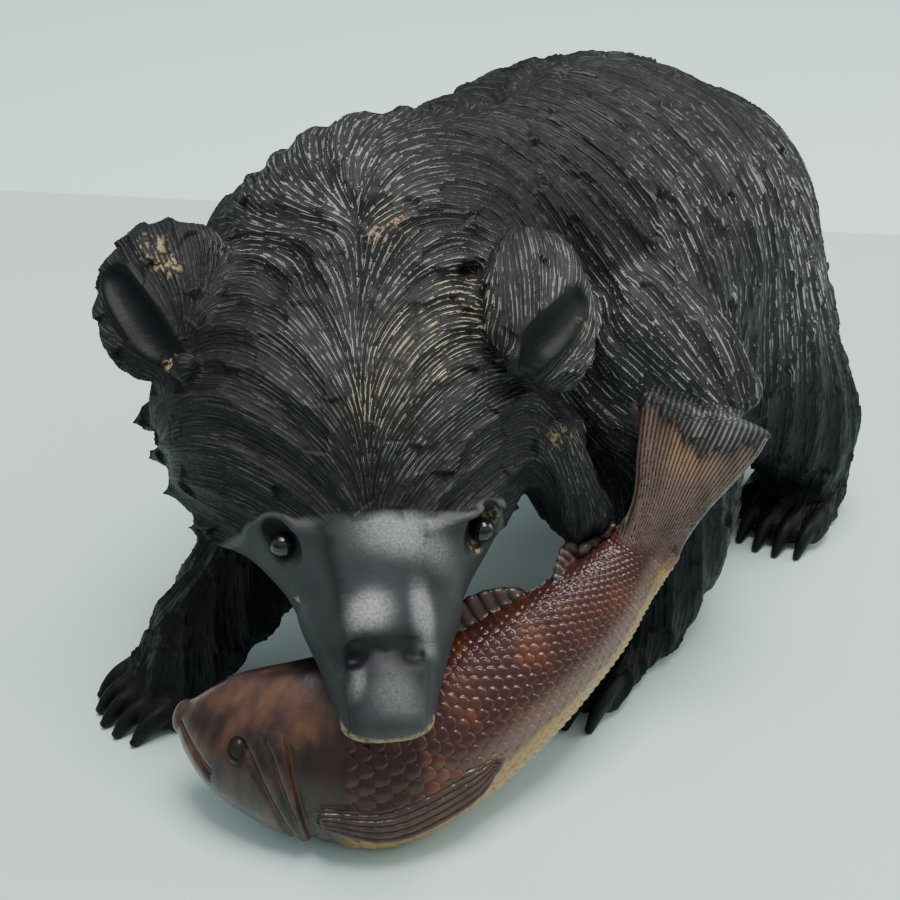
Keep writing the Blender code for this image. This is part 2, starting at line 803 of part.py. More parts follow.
def trace_strokes(surface, lies, pitches, roots, seed):
    """Evenly spaced gouge strokes that follow the hair, as rows of (place, direction, pitch).

    A stroke starts where no other is near and ends at its length or close to a neighbour.
    """
    cells = {}
    widest = max(pitches)
    chance = random.Random(seed)

    def crowded(place, own, limit):
        i, j, k = (int(c // widest) for c in place)
        for x in (i - 1, i, i + 1):
            for y in (j - 1, j, j + 1):
                for z in (k - 1, k, k + 1):
                    for other, number in cells.get((x, y, z), ()):
                        if number != own and (other - place).length_squared < limit:
                            return True
        return False

    traced = []
    for number, root in enumerate(roots):
        place, normal, face, _ = surface.find_nearest(root)
        pitch = pitches[face]
        if crowded(place, number, (0.85 * pitch) ** 2):
            continue
        step = 0.5 * pitch
        for i in range(int(STROKE_LENGTH * chance.uniform(1.2, 2.6))):
            ahead = lies[face]
            if ahead is None or i and crowded(place, number, (0.5 * pitch) ** 2):
                break
            ahead = ahead - normal * ahead.dot(normal)
            if ahead.length < 0.1:
                break
            ahead.normalize()
            traced.append((place, ahead, pitch))
            key = tuple(int(c // widest) for c in place)
            cells.setdefault(key, []).append((place, number))
            place, normal, face, _ = surface.find_nearest(place + ahead * step)
    return traced


def gouged(points, strokes):
    """How high each point stands between strokes: 0 in the bed of a gouge cut, 1 on a ridge."""
    tree = kdtree.KDTree(len(strokes))
    for i, stroke in enumerate(strokes):
        tree.insert(stroke[0], i)
    tree.balance()
    found = [strokes[tree.find(point)[1]] for point in points]
    away = points - np.array([place for place, _, _ in found])
    ways = np.array([way for _, way, _ in found])
    pitches = np.array([pitch for _, _, pitch in found])
    away -= (away * ways).sum(1)[:, None] * ways
    return np.clip(np.linalg.norm(away, axis=1) / (0.5 * pitches), 0, 1) ** 2


def trace_locks(mesh):
    """Broad gouge strokes along the lie of the fur, over the whole blank."""
    points = coordinates(mesh)
    fur = share_of_fur(points)
    surface = bvhtree.BVHTree.FromPolygons(
        points.tolist(), [tuple(face.vertices) for face in mesh.polygons]
    )
    ways = lie_of_fur(points)
    corners = [face.vertices[0] for face in mesh.polygons]
    lies = [Vector(ways[i]) if fur[i] > 0.2 else None for i in corners]
    order = np.random.default_rng(SEED).permutation(np.flatnonzero(fur > 0.5))
    roots = [Vector(points[i]) for i in order]
    return trace_strokes(surface, lies, [LOCK_PITCH] * len(lies), roots, SEED)


def carve_locks(mesh, strokes):
    """Presses the broad strokes into the blank."""
    points = coordinates(mesh)
    height = share_of_fur(points) * (gouged(points, strokes) - 0.6)
    points = points + normals(mesh) * (LOCK_DEPTH * height)[:, None]
    mesh.vertices.foreach_set("co", points.ravel())
    mesh.update()


def refine_salmon(mesh):
    """Smaller faces on the salmon, so that its scales can be cut."""
    form = bmesh.new()
    form.from_mesh(mesh)
    points = coordinates(mesh)
    on_salmon = FISH.distance(points) < 1.5
    edges = [e for e in form.edges if all(on_salmon[v.index] for v in e.verts)]
    bmesh.ops.subdivide_edges(form, edges=edges, cuts=1, use_grid_fill=True)
    bmesh.ops.triangulate(form, faces=form.faces[:])
    form.to_mesh(mesh)
    form.free()


def simplified(block, on_salmon, target):
    """Thins the faces on the salmon, or on the bear alone, down to the target number."""
    mesh = block.data
    chosen = (FISH.distance(coordinates(mesh)) < 1.5) == on_salmon
    group = block.vertex_groups.new(name="thinned")
    for i in np.flatnonzero(chosen):
        group.add([int(i)], 1.0, "REPLACE")
    inside = sum(all(chosen[i] for i in face.vertices) for face in mesh.polygons)
    fewer = block.modifiers.new("fewer faces", "DECIMATE")
    fewer.ratio = (len(mesh.polygons) - inside + target) / len(mesh.polygons)
    fewer.vertex_group = group.name
    apply_modifiers(block)
    block.vertex_groups.clear()


def level_soles(mesh):
    """Planes the soles of the feet and the claw tips off at Z = 0."""
    form = bmesh.new()
    form.from_mesh(mesh)
    everything = form.verts[:] + form.edges[:] + form.faces[:]
    bmesh.ops.bisect_plane(
        form, geom=everything, dist=1e-3, plane_co=(0, 0, 0), plane_no=(0, 0, 1), clear_inner=True
    )
    bmesh.ops.holes_fill(form, edges=[edge for edge in form.edges if edge.is_boundary])
    bmesh.ops.triangulate(form, faces=form.faces[:])
    bmesh.ops.recalc_face_normals(form, faces=form.faces[:])
    form.to_mesh(mesh)
    form.free()


def sphere(name, centre, diameter):
    mesh = bpy.data.meshes.new(name)
    form = bmesh.new()
    bmesh.ops.create_uvsphere(form, u_segments=16, v_segments=10, radius=diameter / 2)
    form.to_mesh(mesh)
    form.free()
    obj = bpy.data.objects.new(name, mesh)
    obj.location = centre
    bpy.context.scene.collection.objects.link(obj)
    return obj


def finish(obj, name, colour, roughness):
    material = bpy.data.materials.new(name)
    material.use_nodes = True
    shader = material.node_tree.nodes["Principled BSDF"]
    shader.inputs["Base Color"].default_value = (*colour, 1)
    shader.inputs["Roughness"].default_value = roughness
    shader.inputs["Metallic"].default_value = 0.0
    obj.data.materials.clear()
    obj.data.materials.append(material)


def set_eye(block, side, name, shift):
    """A glass bead in a round seat cut into the block."""
    centre = (EYES[side] - EYE_OUTWARD * EYE_SINK) * U + shift
    seat = sphere(name + "_seat", centre, EYE_DIAMETER + 2 * EYE_GAP)
    seat.hide_render = True
    seat.display_type = "WIRE"
    cut = block.modifiers.new(name + " seat", "BOOLEAN")
    cut.operation = "DIFFERENCE"
    cut.solver = "EXACT"
    cut.object = seat
    finish(sphere(name, centre, EYE_DIAMETER), "black glass", (0.01, 0.01, 0.012), 0.08)


def main():
    for obj in list(bpy.data.objects):
        bpy.data.objects.remove(obj)
    block = rough_blank(BLANK_VOXEL)
    fit_to_carving(block.data)
    locks = trace_locks(block.data)
    refine_salmon(block.data)
    fit_to_carving(block.data, rounds=2)
    carve_locks(block.data, locks)
    simplified(block, True, SALMON_FACES)
    simplified(block, False, BEAR_FACES)
    level_soles(block.data)
    block.name = "bear_and_salmon"
    block.data.transform(Matrix.Scale(U, 4))
    points = coordinates(block.data)
    shift = -(points.min(0) + points.max(0)) / 2 * [1, 1, 0]
    block.data.transform(Matrix.Translation(shift))
    finish(block, "dark stained wood", (0.035, 0.032, 0.030), 0.5)
    set_eye(block, -1, "bear_eye_right", shift)
    set_eye(block, 1, "bear_eye_left", shift)


if __name__ == "__main__":
    main()
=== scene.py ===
# %% [markdown]
# # A bear carved from one block of wood, with a salmon across its mouth
#
# The real object is a dark stained carving, about the length of a forearm. One block of wood holds
# the bear and its fish; only the two glass eyes are set in afterwards. Everything else that the eye
# reads as fur, scales, claws or nose is the mark of a gouge, a knife or fine sandpaper.
#
# This lesson builds the same thing in the same order as a carver would: first the big masses, then
# the hollows, then the long gouge cuts of the fur, then the stain and the worn edges.

import itertools
import math
import random

import bmesh
import bpy
import numpy as np
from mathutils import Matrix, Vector, bvhtree, kdtree


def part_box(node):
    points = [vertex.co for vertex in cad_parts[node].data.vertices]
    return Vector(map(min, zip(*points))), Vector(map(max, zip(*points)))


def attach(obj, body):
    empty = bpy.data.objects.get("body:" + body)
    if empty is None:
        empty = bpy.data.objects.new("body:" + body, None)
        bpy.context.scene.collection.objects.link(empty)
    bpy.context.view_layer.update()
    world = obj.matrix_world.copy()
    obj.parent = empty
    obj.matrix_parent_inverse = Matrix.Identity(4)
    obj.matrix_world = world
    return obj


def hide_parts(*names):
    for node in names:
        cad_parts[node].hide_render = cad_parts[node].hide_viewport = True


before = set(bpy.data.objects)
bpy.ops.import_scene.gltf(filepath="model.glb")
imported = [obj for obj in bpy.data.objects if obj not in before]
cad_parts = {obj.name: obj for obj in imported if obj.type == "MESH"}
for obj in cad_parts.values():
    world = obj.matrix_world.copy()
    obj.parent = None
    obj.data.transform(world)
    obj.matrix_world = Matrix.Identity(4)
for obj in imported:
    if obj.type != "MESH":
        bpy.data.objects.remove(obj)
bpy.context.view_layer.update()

# %% [markdown]
# ## Units of the drawing
#
# The form is drawn in carver's units, close to a millimetre each, on its own axes: the bear walks
# towards -Y and stands on Z = 0. The head has axes of its own, because it is turned towards the
# bear's left. Keeping the head's tables in head axes means that one angle turns all of it.

# %% Axes of the head
def unit(vector):
    vector = np.asarray(vector, float)
    return vector / np.linalg.norm(vector, axis=-1, keepdims=True)


HEAD_TURN = math.radians(45.5)
HEAD_BASE = np.array([-10.0, 7.0, 0.0])
HEAD_FORWARD = np.array([math.sin(HEAD_TURN), -math.cos(HEAD_TURN), 0.0])
HEAD_LEFT = np.array([math.cos(HEAD_TURN), math.sin(HEAD_TURN), 0.0])
UPRIGHT = np.array([0.0, 0.0, 1.0])
HEAD_UP = 0.6 * HEAD_FORWARD + 0.8 * UPRIGHT
HEAD_AXIS = 0.8 * HEAD_FORWARD - 0.6 * UPRIGHT
EYE_OUTWARD = unit([0.5, -0.6, 0.6])
EYE_SINK = 3.2


def head_point(side, forward, height):
    """A place on the head: side is towards the bear's left."""
    return HEAD_BASE + side * HEAD_LEFT + forward * HEAD_FORWARD + height * UPRIGHT


def head_rows(rows):
    """Rows of side, forward, height and sizes, turned into rows of a mass."""
    return [[*head_point(*row[:3]), *row[3:]] for row in rows]


print("the head is turned by", round(math.degrees(HEAD_TURN), 1), "degrees")

# %% [markdown]
# ## Masses as distances
#
# Each mass, such as a leg or the barrel of the body, is a rounded tube swept along a curve. Instead
# of making a mesh of each and joining them with Booleans, a mass only answers one question: how far
# is this place from my skin? Answers of many masses can be blended, which gives the soft
# transitions that a carver leaves between one muscle and the next.

# %% A smooth curve through a few rows of sizes
def smooth_rows(rows, steps):
    """A Catmull-Rom curve through rows of numbers."""
    rows = np.asarray(rows, float)
    padded = np.vstack([2 * rows[0] - rows[1], rows, 2 * rows[-1] - rows[-2]])
    made = []
    for i in range(len(rows) - 1):
        a, b, c, d = padded[i : i + 4]
        bend, twist = 2 * a - 5 * b + 4 * c - d, 3 * b - a - 3 * c + d
        for t in np.arange(steps) / steps:
            made.append(0.5 * (2 * b + (c - a) * t + bend * t * t + twist * t**3))
    return np.array(made + [rows[-1]])


def held(value):
    """A share, kept from 0 to 1."""
    return np.clip(value, 0, 1)


def bell(value):
    """1 at zero, falling off softly to either side."""
    return np.exp(-(value**2))

# %% The swept mass
class Sweep:
    """A rounded body swept along a curve: each row is x, y, z, half width, half height."""

    def __init__(
        self, rows, up=(0, 0, 1), axis=None, steps=5, blend=10.0, cap=1.0, taper=0, square=2
    ):
        table = smooth_rows(rows, steps) if len(rows) > 2 else np.asarray(rows, float)
        self.centres, self.radii = table[:, :3], np.maximum(table[:, 3:5], 0.4)
        self.blend, self.cap, self.axis, self.taper, self.square = blend, cap, axis, taper, square
        self.tangents = unit(np.gradient(self.centres, axis=0))
        if axis is not None:
            self.tangents = np.tile(unit(axis), (len(table), 1))
        self.across = unit(np.cross(self.tangents, np.asarray(up, float)))
        self.up = unit(np.cross(self.across, self.tangents))
        legs = np.linalg.norm(np.diff(self.centres, axis=0), axis=1)
        self.mileage = np.concatenate([[0], np.cumsum(legs)])
        self.length = self.mileage[-1]
        reach = self.radii.max() + blend + 10.0
        self.low = self.centres.min(0) - reach
        self.high = self.centres.max(0) + reach

    def near(self, points):
        """Whether points lie in the box round the mass."""
        return ((points > self.low) & (points < self.high)).all(1)

    def local(self, points):
        """Across, up and past the end of the curve, its radii there, and the place, 0 to 1."""
        starts, legs = self.centres[:-1], np.diff(self.centres, axis=0)
        lengths = np.linalg.norm(legs, axis=1)
        if self.axis is None:
            offset = points[:, None, :] - starts[None]
            share = held((offset * legs).sum(2) / lengths**2)
            gap = ((offset - share[..., None] * legs) ** 2).sum(2)
            leg = gap.argmin(1)
            spot = leg + share[np.arange(len(points)), leg]
        else:
            marks = self.centres @ self.tangents[0]
            spot = np.interp(points @ self.tangents[0], marks, np.arange(len(marks)))
        for _ in range(3):
            leg = np.minimum(spot.astype(int), len(legs) - 1)
            t = (spot - leg)[:, None]

            def between(values):
                return values[leg] * (1 - t) + values[leg + 1] * t

            away = points - between(self.centres)
            along = (away * between(self.tangents)).sum(1)
            if self.axis is None:
                spot = np.clip(spot + np.clip(along / lengths[leg], -1, 1), 0, len(legs))
        side, rise = ((away * between(way)).sum(1) for way in (self.across, self.up))
        past_end = np.where((spot <= 0) | (spot >= len(legs)), along, 0)
        place = between(self.mileage[:, None])[:, 0] / self.length
        return side, rise, past_end, between(self.radii), place

    def distance(self, points):
        side, rise, along, radii, _ = self.local(points)
        width, height = radii.T
        end = np.minimum(width, height) * self.cap
        if self.taper:
            width = width * (1 - self.taper * np.clip(rise / height, -1, 1))
        off, sizes = np.array([side, rise, along]), np.array([width, height, end])
        power = self.square
        k0 = (np.abs(off / sizes) ** power).sum(0) ** (1 / power)
        k1 = (np.abs(off / sizes**2) ** 2).sum(0) ** 0.5
        if power != 2:
            k1 = k1 * k0 / np.maximum(((off / sizes) ** 2).sum(0) ** 0.5, 1e-6)
        deep = -np.minimum(width, height)
        return np.where(k0 < 0.05, deep, k0 * (k0 - 1) / np.maximum(k1, 1e-6))


def ball(centre, radii, forward=(0, -1, 0), up=(0, 0, 1), blend=10.0):
    """A very short sweep: radii are across, up and along forward."""
    end = 0.02 * unit(forward)
    rows = [[*(np.asarray(centre, float) + way * end), *radii[:2]] for way in (-1, 1)]
    return Sweep(rows, up=up, blend=blend, cap=radii[2] / min(radii[:2]))

# %% Blending two masses, and cutting one out of another
def smooth_union(first, second, blend):
    h = np.maximum(blend - np.abs(first - second), 0) / blend
    return np.minimum(first, second) - h * h * blend / 4


def smooth_cut(body, cutter, blend):
    return -smooth_union(-body, cutter, blend)

# %% [markdown]
# ## The bear
#
# Barrel, hump, shoulders and rump come first, then the four legs as they stand in mid-step. Every
# row is x, y, z, half width and half height. The rows were set by holding the outline against the
# carving from the front, and are few on purpose: a curve through four rows stays smooth.

# %% Trunk
BARREL = Sweep(
    [
        [-36, 34, 118, 46, 46], [-37, 58, 126, 48, 56], [-32, 78, 129, 56, 62],
        [-25, 95, 130, 65, 64], [-20, 118, 132, 67, 66], [-16, 145, 132, 66, 65],
        [-14, 170, 127, 60, 61], [-13, 190, 119, 51, 53],
    ],
    axis=(0, 1, 0), blend=10, cap=0.85,
)
HUMP = ball([-38, 44, 146], [51, 53, 43], blend=28)
RIGHT_SHOULDER = ball([-66, 40, 118], [33, 42, 40], blend=20)
LEFT_SHOULDER = ball([28, 104, 108], [29, 38, 29], blend=14)
SKIRT = Sweep(
    [[34, 88, 142, 18, 12], [48, 95, 130, 17, 10], [58, 99, 119, 15, 8], [66, 103, 111, 11, 5]],
    up=(0.65, -0.57, 0.5), blend=6,
)
RUMP = ball([-12, 182, 106], [44, 44, 40], blend=30)
STUB_TAIL = ball([-11, 232, 104], [9, 13, 7], up=(0, 0.5, 0.86), blend=6)
THROAT = Sweep([[24, 54, 107, 13, 13], [36, 58, 80, 11, 11]], blend=10)
TRUNK = [BARREL, HUMP, RIGHT_SHOULDER, LEFT_SHOULDER, SKIRT, RUMP, STUB_TAIL, THROAT]

# %% Legs: right fore, left fore, left hind, right hind
HIND_BLEND = 26
LEGS = [
    Sweep(rows, blend=blend)
    for blend, rows in (
        (10, [[-60, 40, 112, 30, 36], [-59, 20, 78, 27, 28], [-57, -4, 48, 22, 21],
              [-63, -26, 26, 19, 17], [-67, -36, 12, 18, 14]]),
        (12, [[18, 108, 114, 32, 34], [27, 112, 90, 33, 32], [33, 112, 60, 32, 31],
              [37, 104, 34, 28, 25], [39, 92, 14, 23, 17]]),
        (HIND_BLEND, [[8, 172, 100, 34, 40], [28, 182, 74, 32, 37], [43, 200, 44, 25, 27],
                      [47, 208, 20, 20, 18]]),
        (HIND_BLEND, [[-36, 174, 100, 34, 40], [-56, 190, 74, 32, 37], [-70, 212, 44, 24, 26],
                      [-72, 218, 20, 20, 18]]),
    )
]

# %% [markdown]
# Paws repeat, so a loop makes them: a low pad, five toes, and a claw hooking down from each toe.
# Each part's rows say how far ahead it lies, how high, and its two sizes.

# %% Paws
PAWS = (  # heel, front, half width and height
    ((-67, -38), (-71, -52), 17.5, 13),
    ((40, 88), (42, 50), 19, 15),
    ((48, 210), (50, 180), 19.5, 14),
    ((-72, 220), (-72, 188), 19.5, 14),
)
TOES = 5
PADS, CLAWS = [], []
for heel, front, half_width, height in PAWS:
    heel, front = np.array(heel, float), np.array(front, float)
    ahead = unit(front - heel)
    aside = np.array([-ahead[1], ahead[0]])
    rows = (
        (heel, 0.5, half_width * 0.9, 0.75),
        ((heel + front) / 2, 0.48, half_width, 0.7),
        (front - ahead * 3, 0.42, half_width * 0.94, 0.58),
    )
    PADS.append(Sweep([[*at, height * z, w, height * h] for at, z, w, h in rows], blend=8))
    for i in range(TOES):
        share = (i - (TOES - 1) / 2) / ((TOES - 1) / 2)
        root = front + aside * share * half_width * 0.8 - ahead * 5 * share**2
        width = half_width / TOES * 0.98
        rows = ((-8, 0.55, width, 0.42), (1, 0.5, width, 0.36))
        toe = [[*(root + ahead * on), height * z, w, height * h] for on, z, w, h in rows]
        PADS.append(Sweep(toe, blend=2.5))
        rows = (
            (-4, height * 0.78, 0.6, 3.0),
            (4, height * 0.66, 0.75, 3.6),
            (9, height * 0.40, 0.62, 3.4),
            (13, 1.5, 0.38, 2.2),
        )
        claw = [[*(root + ahead * on), z, width * w, h] for on, z, w, h in rows]
        CLAWS.append(Sweep(claw, blend=1.5))
print(len(PADS), "pads and toes,", len(CLAWS), "claws")

# %% [markdown]
# ## The head
#
# A broad skull tapers into a muzzle whose top is a flat plane, sanded smooth. Brow ridges shade the
# deep eye sockets, pointed locks stand off the cheeks, and each ear is a rounded leaf.

# %% Skull, muzzle and jaw
SKULL = Sweep(
    head_rows([
        (-4, -62, 132, 52, 48), (-4, -36, 128, 60, 48), (-4, -10, 114, 63, 46),
        (-3, 10, 98, 50, 35), (0, 24, 86, 36, 27), (1, 36, 78, 25, 20),
    ]),
    up=HEAD_UP, axis=HEAD_AXIS, blend=10,
)
MUZZLE = Sweep(
    head_rows([
        (1, 8, 94, 30, 26), (1, 34, 80, 25, 21), (1, 54, 68, 18.2, 16), (1, 66, 61, 14, 12.5),
    ]),
    up=HEAD_UP, axis=HEAD_AXIS, blend=5, taper=0.3, square=2.6, cap=0.7,
)
JAW = Sweep(
    head_rows([(0, -12, 76, 26, 13), (0, 8, 62, 19, 9), (0, 27, 49, 12, 7)]),
    up=HEAD_UP, blend=5,
)
BROW = ((15, 37.0, 108.5), (24, 34.5, 108.5), (33, 29.0, 107.5), (41, 21.0, 103.0))
RELIEFS = [
    Sweep(head_rows([(way * s + 1.5, f, z, 1.6, 1.2) for s, f, z in BROW]), up=HEAD_UP, blend=3)
    for way in (-1, 1)
]
TUFTS = ((-28, 110, 72, 8), (-16, 103, 67, 6), (-4, 97, 62, 5), (8, 91, 54, 4))
for side, centre in ((-1, -4), (1, -6)):
    for f, z, reach, drop in TUFTS:
        root = head_point(centre + side * (reach - 22), f + 6, z + 5)
        tip = head_point(centre + side * reach, f - 2, z - drop * 0.5)
        rows = [[*root, 11, 10], [*((root + tip) / 2), 7.5, 7], [*tip, 1.2, 1.2]]
        RELIEFS.append(Sweep(rows, blend=4))

# %% Ears
EARS = []
for side, s, f, z, width, outward in (
    (-1, -59, -26, 154, 23, 0.1),
    (1, 54.5, -4, 158, 20, 0.5),
):
    normal = unit(0.7 * HEAD_FORWARD + 0.65 * UPRIGHT + side * outward * HEAD_LEFT)
    lean = unit(0.65 * HEAD_FORWARD - 0.7 * UPRIGHT + side * 0.1 * HEAD_LEFT)
    EARS.append(ball(head_point(s, f, z), [width, 9.5, 26], forward=lean, up=normal, blend=6))
for place in ((-53, 0.5, 145), (45.5, 13, 151)):
    EARS.append(ball(head_point(*place), [4.5, 4.5, 5], blend=2))
print("the head has", len(RELIEFS), "brows and locks")

# %% [markdown]
# ## The salmon
#
# The fish curls round the bear's chin. Places on its side are given as u, from nose to tail, and v,
# from belly to back, so that the gill cover, fins and scales follow the curl by themselves.

# %% Body of the fish
FISH_BACK = (-0.35, 0.38, 0.85)
FISH = Sweep(
    [
        [-29, -63, 35, 4, 6], [-23, -61, 34, 8.5, 13], [-13, -57, 33, 12, 21],
        [6, -46, 31, 15, 29], [24, -30, 30, 16, 33], [35, -13, 32, 15.5, 29],
        [42, 1, 36, 14.5, 25], [49, 23, 45, 13, 21.5], [53, 45, 53, 11, 18],
        [55, 61, 61, 8, 13.5], [58, 71, 70, 6, 11],
    ],
    up=FISH_BACK, blend=2.5, steps=3,
)
SCALES_ACROSS = 18
SCALE_DEPTH = 0.8
SCALE_RINGS = np.concatenate(
    [[0], np.cumsum(np.diff(FISH.mileage) / (1.55 * FISH.radii[1:].sum(1) / SCALES_ACROSS))]
)


def on_fish(u, v, lift=0.0):
    """A place on the salmon's outer flank."""
    spot = np.interp(u, FISH.mileage / FISH.length, np.arange(len(FISH.centres)))

    def at(values):
        low = min(int(spot), len(values) - 2)
        return values[low] + (spot - low) * (values[low + 1] - values[low])

    width, height = at(FISH.radii)
    bulge = width * math.sqrt(max(0, 1 - v * v)) + lift
    return at(FISH.centres) + at(FISH.up) * v * height + at(FISH.across) * bulge

# %% Tail, back fin, small fin and breast fin
TAIL = Sweep(
    [(58, 68, 67, 5.5, 10), (60, 76, 82, 4.5, 12), (61, 83, 95, 4, 17), (62, 89, 106, 3.4, 21),
     (62, 92, 111, 3, 22)],
    up=(-0.76, -0.48, 0.43), blend=3, cap=0.6, square=3,
)
FINS = [TAIL] + [
    Sweep([[*on_fish(*row[:3]), *row[3:]] for row in rows], up=FISH_BACK, blend=blend)
    for blend, rows in (
        (2, [(0.50, 0.8, -6, 2.2, 5), (0.58, 0.98, -6, 2.2, 9), (0.68, 1.05, -4, 2.0, 7),
             (0.74, 1.0, -3, 1.8, 3)]),
        (2, [(0.80, 0.9, -4, 1.8, 3), (0.86, 1.15, -3, 1.8, 4), (0.90, 1.35, -2, 1.6, 2)]),
        (1, [(0.27, -0.62, -0.5, 2.2, 4), (0.36, -0.66, 0.3, 2.2, 6.5),
             (0.47, -0.62, 0.3, 1.9, 6), (0.53, -0.55, -0.3, 1.5, 2)]),
    )
]
print("the salmon measures", round(FISH.length), "units along its curl")

# %% [markdown]
# Scales overlap like roof tiles. Each row is shifted by half a scale, and every scale rises
# towards its free edge, which is what catches the light along the flank.

# %% Scales, gill cover, mouth and eye of the fish
def scale_height(row, column):
    """Height, 0 to 1, of overlapping scales; a scale nearer the head lies over the next."""
    height = np.zeros_like(row)
    covered = np.zeros(row.shape, bool)
    for back in (2, 1, 0, -1):
        centre_row = np.floor(row) - back
        shift = 0.5 * (centre_row % 2)
        across = column - shift - np.round(column - shift)
        ahead = row - centre_row
        inside = (ahead / 1.25) ** 2 + (across / 0.62) ** 2 < 1
        height = np.where(inside & ~covered, held(0.35 + 0.5 * ahead - 0.7 * across**2), height)
        covered |= inside
    return height


SCALES_FROM = 0.30
FISH_EYE = (0.121, -0.03)
CHEEK_LINES = ((0.179, -0.065, 0.25), (0.141, -0.085, 0.15))


def from_fish_eye(u, v):
    """Distance along the flank from the middle of the fish's eye, in units."""
    return np.hypot((u - FISH_EYE[0]) * FISH.length * 1.35, (v - FISH_EYE[1]) * 21)


def scales_at(u, v):
    ring = np.interp(u, FISH.mileage / FISH.length, SCALE_RINGS)
    return scale_height(ring, np.arcsin(np.clip(v, -1, 1)) / math.pi * SCALES_ACROSS)


def fish_relief(u, v):
    """How far the flank stands proud of the smooth body."""
    edge = 0.207 - 0.04 * v
    cover = 1.2 * np.exp(-np.maximum(edge - u, 0) / 0.03) * held((edge - u) / 0.003)
    gap = -2.0 * np.exp(-np.maximum(u - edge, 0) / 0.035) * held((u - edge) / 0.005)
    relief = held((0.3 - v) / 0.2) * (cover + gap)
    for start, slope, top in CHEEK_LINES:
        relief -= 1.0 * bell((u - start - slope * v) / 0.006) * held((top - v) / 0.15)
    relief -= 1.3 * bell((v + 0.1 + 6 * u) / 0.10) * (u < 0.085)
    relief += 0.4 * bell(from_fish_eye(u, v) / 2) - bell((from_fish_eye(u, v) - 3.3) / 0.8)
    scaled = held((u - SCALES_FROM) / 0.01) * held((0.99 - u) / 0.03)
    return relief + scaled * SCALE_DEPTH * (scales_at(u, v) - 0.6)


FURRED = TRUNK + LEGS + PADS + [SKULL, JAW, *RELIEFS, *EARS]
ALL_MASSES = FURRED + CLAWS + [MUZZLE] + FINS
print(len(ALL_MASSES) + 1, "masses in all")

# %% [markdown]
# ## Hollows
#
# The ears have a smooth trough along their outer edge, and the fur parts in a deep pit beside the
# left ear. Sockets, nostrils and the crease above the nose are cut in the same way.

# %% Distance to the carving, and a way to land on it
FAR = 60.0
ALL_CUTS = []


def distance_to_masses(points):
    """Distance to the carving before its hollows are cut."""
    total = np.full(len(points), FAR)
    for mass in ALL_MASSES:
        near = mass.near(points)
        if near.any():
            total[near] = smooth_union(total[near], mass.distance(points[near]), mass.blend)
    near = FISH.near(points)
    if near.any():
        side, rise, _, radii, place = FISH.local(points[near])
        shown = (side > -4) & (place > 0) & (place < 1)
        flank = FISH.distance(points[near])
        flank = flank - np.where(shown, fish_relief(place, rise / radii[:, 1]), 0)
        total[near] = smooth_union(total[near], flank, FISH.blend)
    return total


def distance_to_carving(points):
    """Distance to the carved surface, less than 0 inside."""
    total = distance_to_masses(points)
    for cut in ALL_CUTS:
        near = cut.near(points)
        if near.any():
            total[near] = smooth_cut(total[near], cut.distance(points[near]), cut.blend)
    return total


def land(point, outward, reach=40):
    """The surface point met when coming in from outside."""
    place = np.asarray(point, float) + unit(outward) * reach
    for _ in range(60):
        place = place - unit(outward) * max(distance_to_masses(place[None])[0], -1) * 0.7
    return place

# %% Hollows of ears and face
EYES = {
    -1: land(head_point(-28, 33.7, 102.5), EYE_OUTWARD) - EYE_OUTWARD,
    1: land(head_point(33.5, 29.5, 100), EYE_OUTWARD) - EYE_OUTWARD,
}
facing = unit(0.7 * HEAD_FORWARD + 0.65 * UPRIGHT)
for trough in (
    ((-76, -27, 162, 5.5), (-70, -17.5, 156, 6.5), (-64, -10.5, 149, 6.5), (-58, -5, 143, 4.5)),
    ((67, -1, 161, 5), (60, 7.5, 158.5, 6.5), (53, 13, 155, 6.5), (48.5, 15.5, 149, 4)),
):
    rows = [[*(head_point(*place) + facing * 2), r, r * 0.8] for *place, r in trough]
    ALL_CUTS.append(Sweep(rows, up=facing, blend=1.5))
for place, radii, blend in (((33, -14, 166), (2.8, 2.0, 7), 5), ((-25, -12, 169), (5, 5, 5), 9)):
    ALL_CUTS.append(ball(head_point(*place), radii, forward=(0.5, -0.6, 0.6), blend=blend))
face_cuts = []
for side, eye in EYES.items():
    slit = unit(0.75 * HEAD_FORWARD - 0.55 * UPRIGHT - side * 0.35 * HEAD_LEFT)
    lid = eye + EYE_OUTWARD * 1.5
    face_cuts.append(ball(lid, [5.0, 6.5, 8.5], forward=slit, up=EYE_OUTWARD, blend=2.5))
    nostril = land(head_point(1 + side * 10, 62, 82), HEAD_UP)
    face_cuts.append(ball(nostril, [2.2, 2.4, 2.8], up=HEAD_UP, blend=2))
crease = [land(head_point(1 + s, 61, 82), HEAD_UP) for s in (-15, -6, 6, 15)]
face_cuts.append(Sweep([[*place, 1.6, 0.7] for place in crease], up=HEAD_UP, blend=5))
SMOOTH_CUTS = ALL_CUTS[:2] + face_cuts
ALL_CUTS += face_cuts
print(len(ALL_CUTS), "hollows")

# %% [markdown]
# ## From distances to a mesh
#
# The distances are sampled on a grid, coarsely at first and finely near the skin only. Wherever the
# sign changes between two neighbours the skin passes, and one point is set in that cell. A voxel
# remesh tidies the result into even quads, and a few rounds of fitting pull them onto the form.

# %% Sampling the distances
BLANK_VOXEL = 2.0
COARSE_STEPS = 4


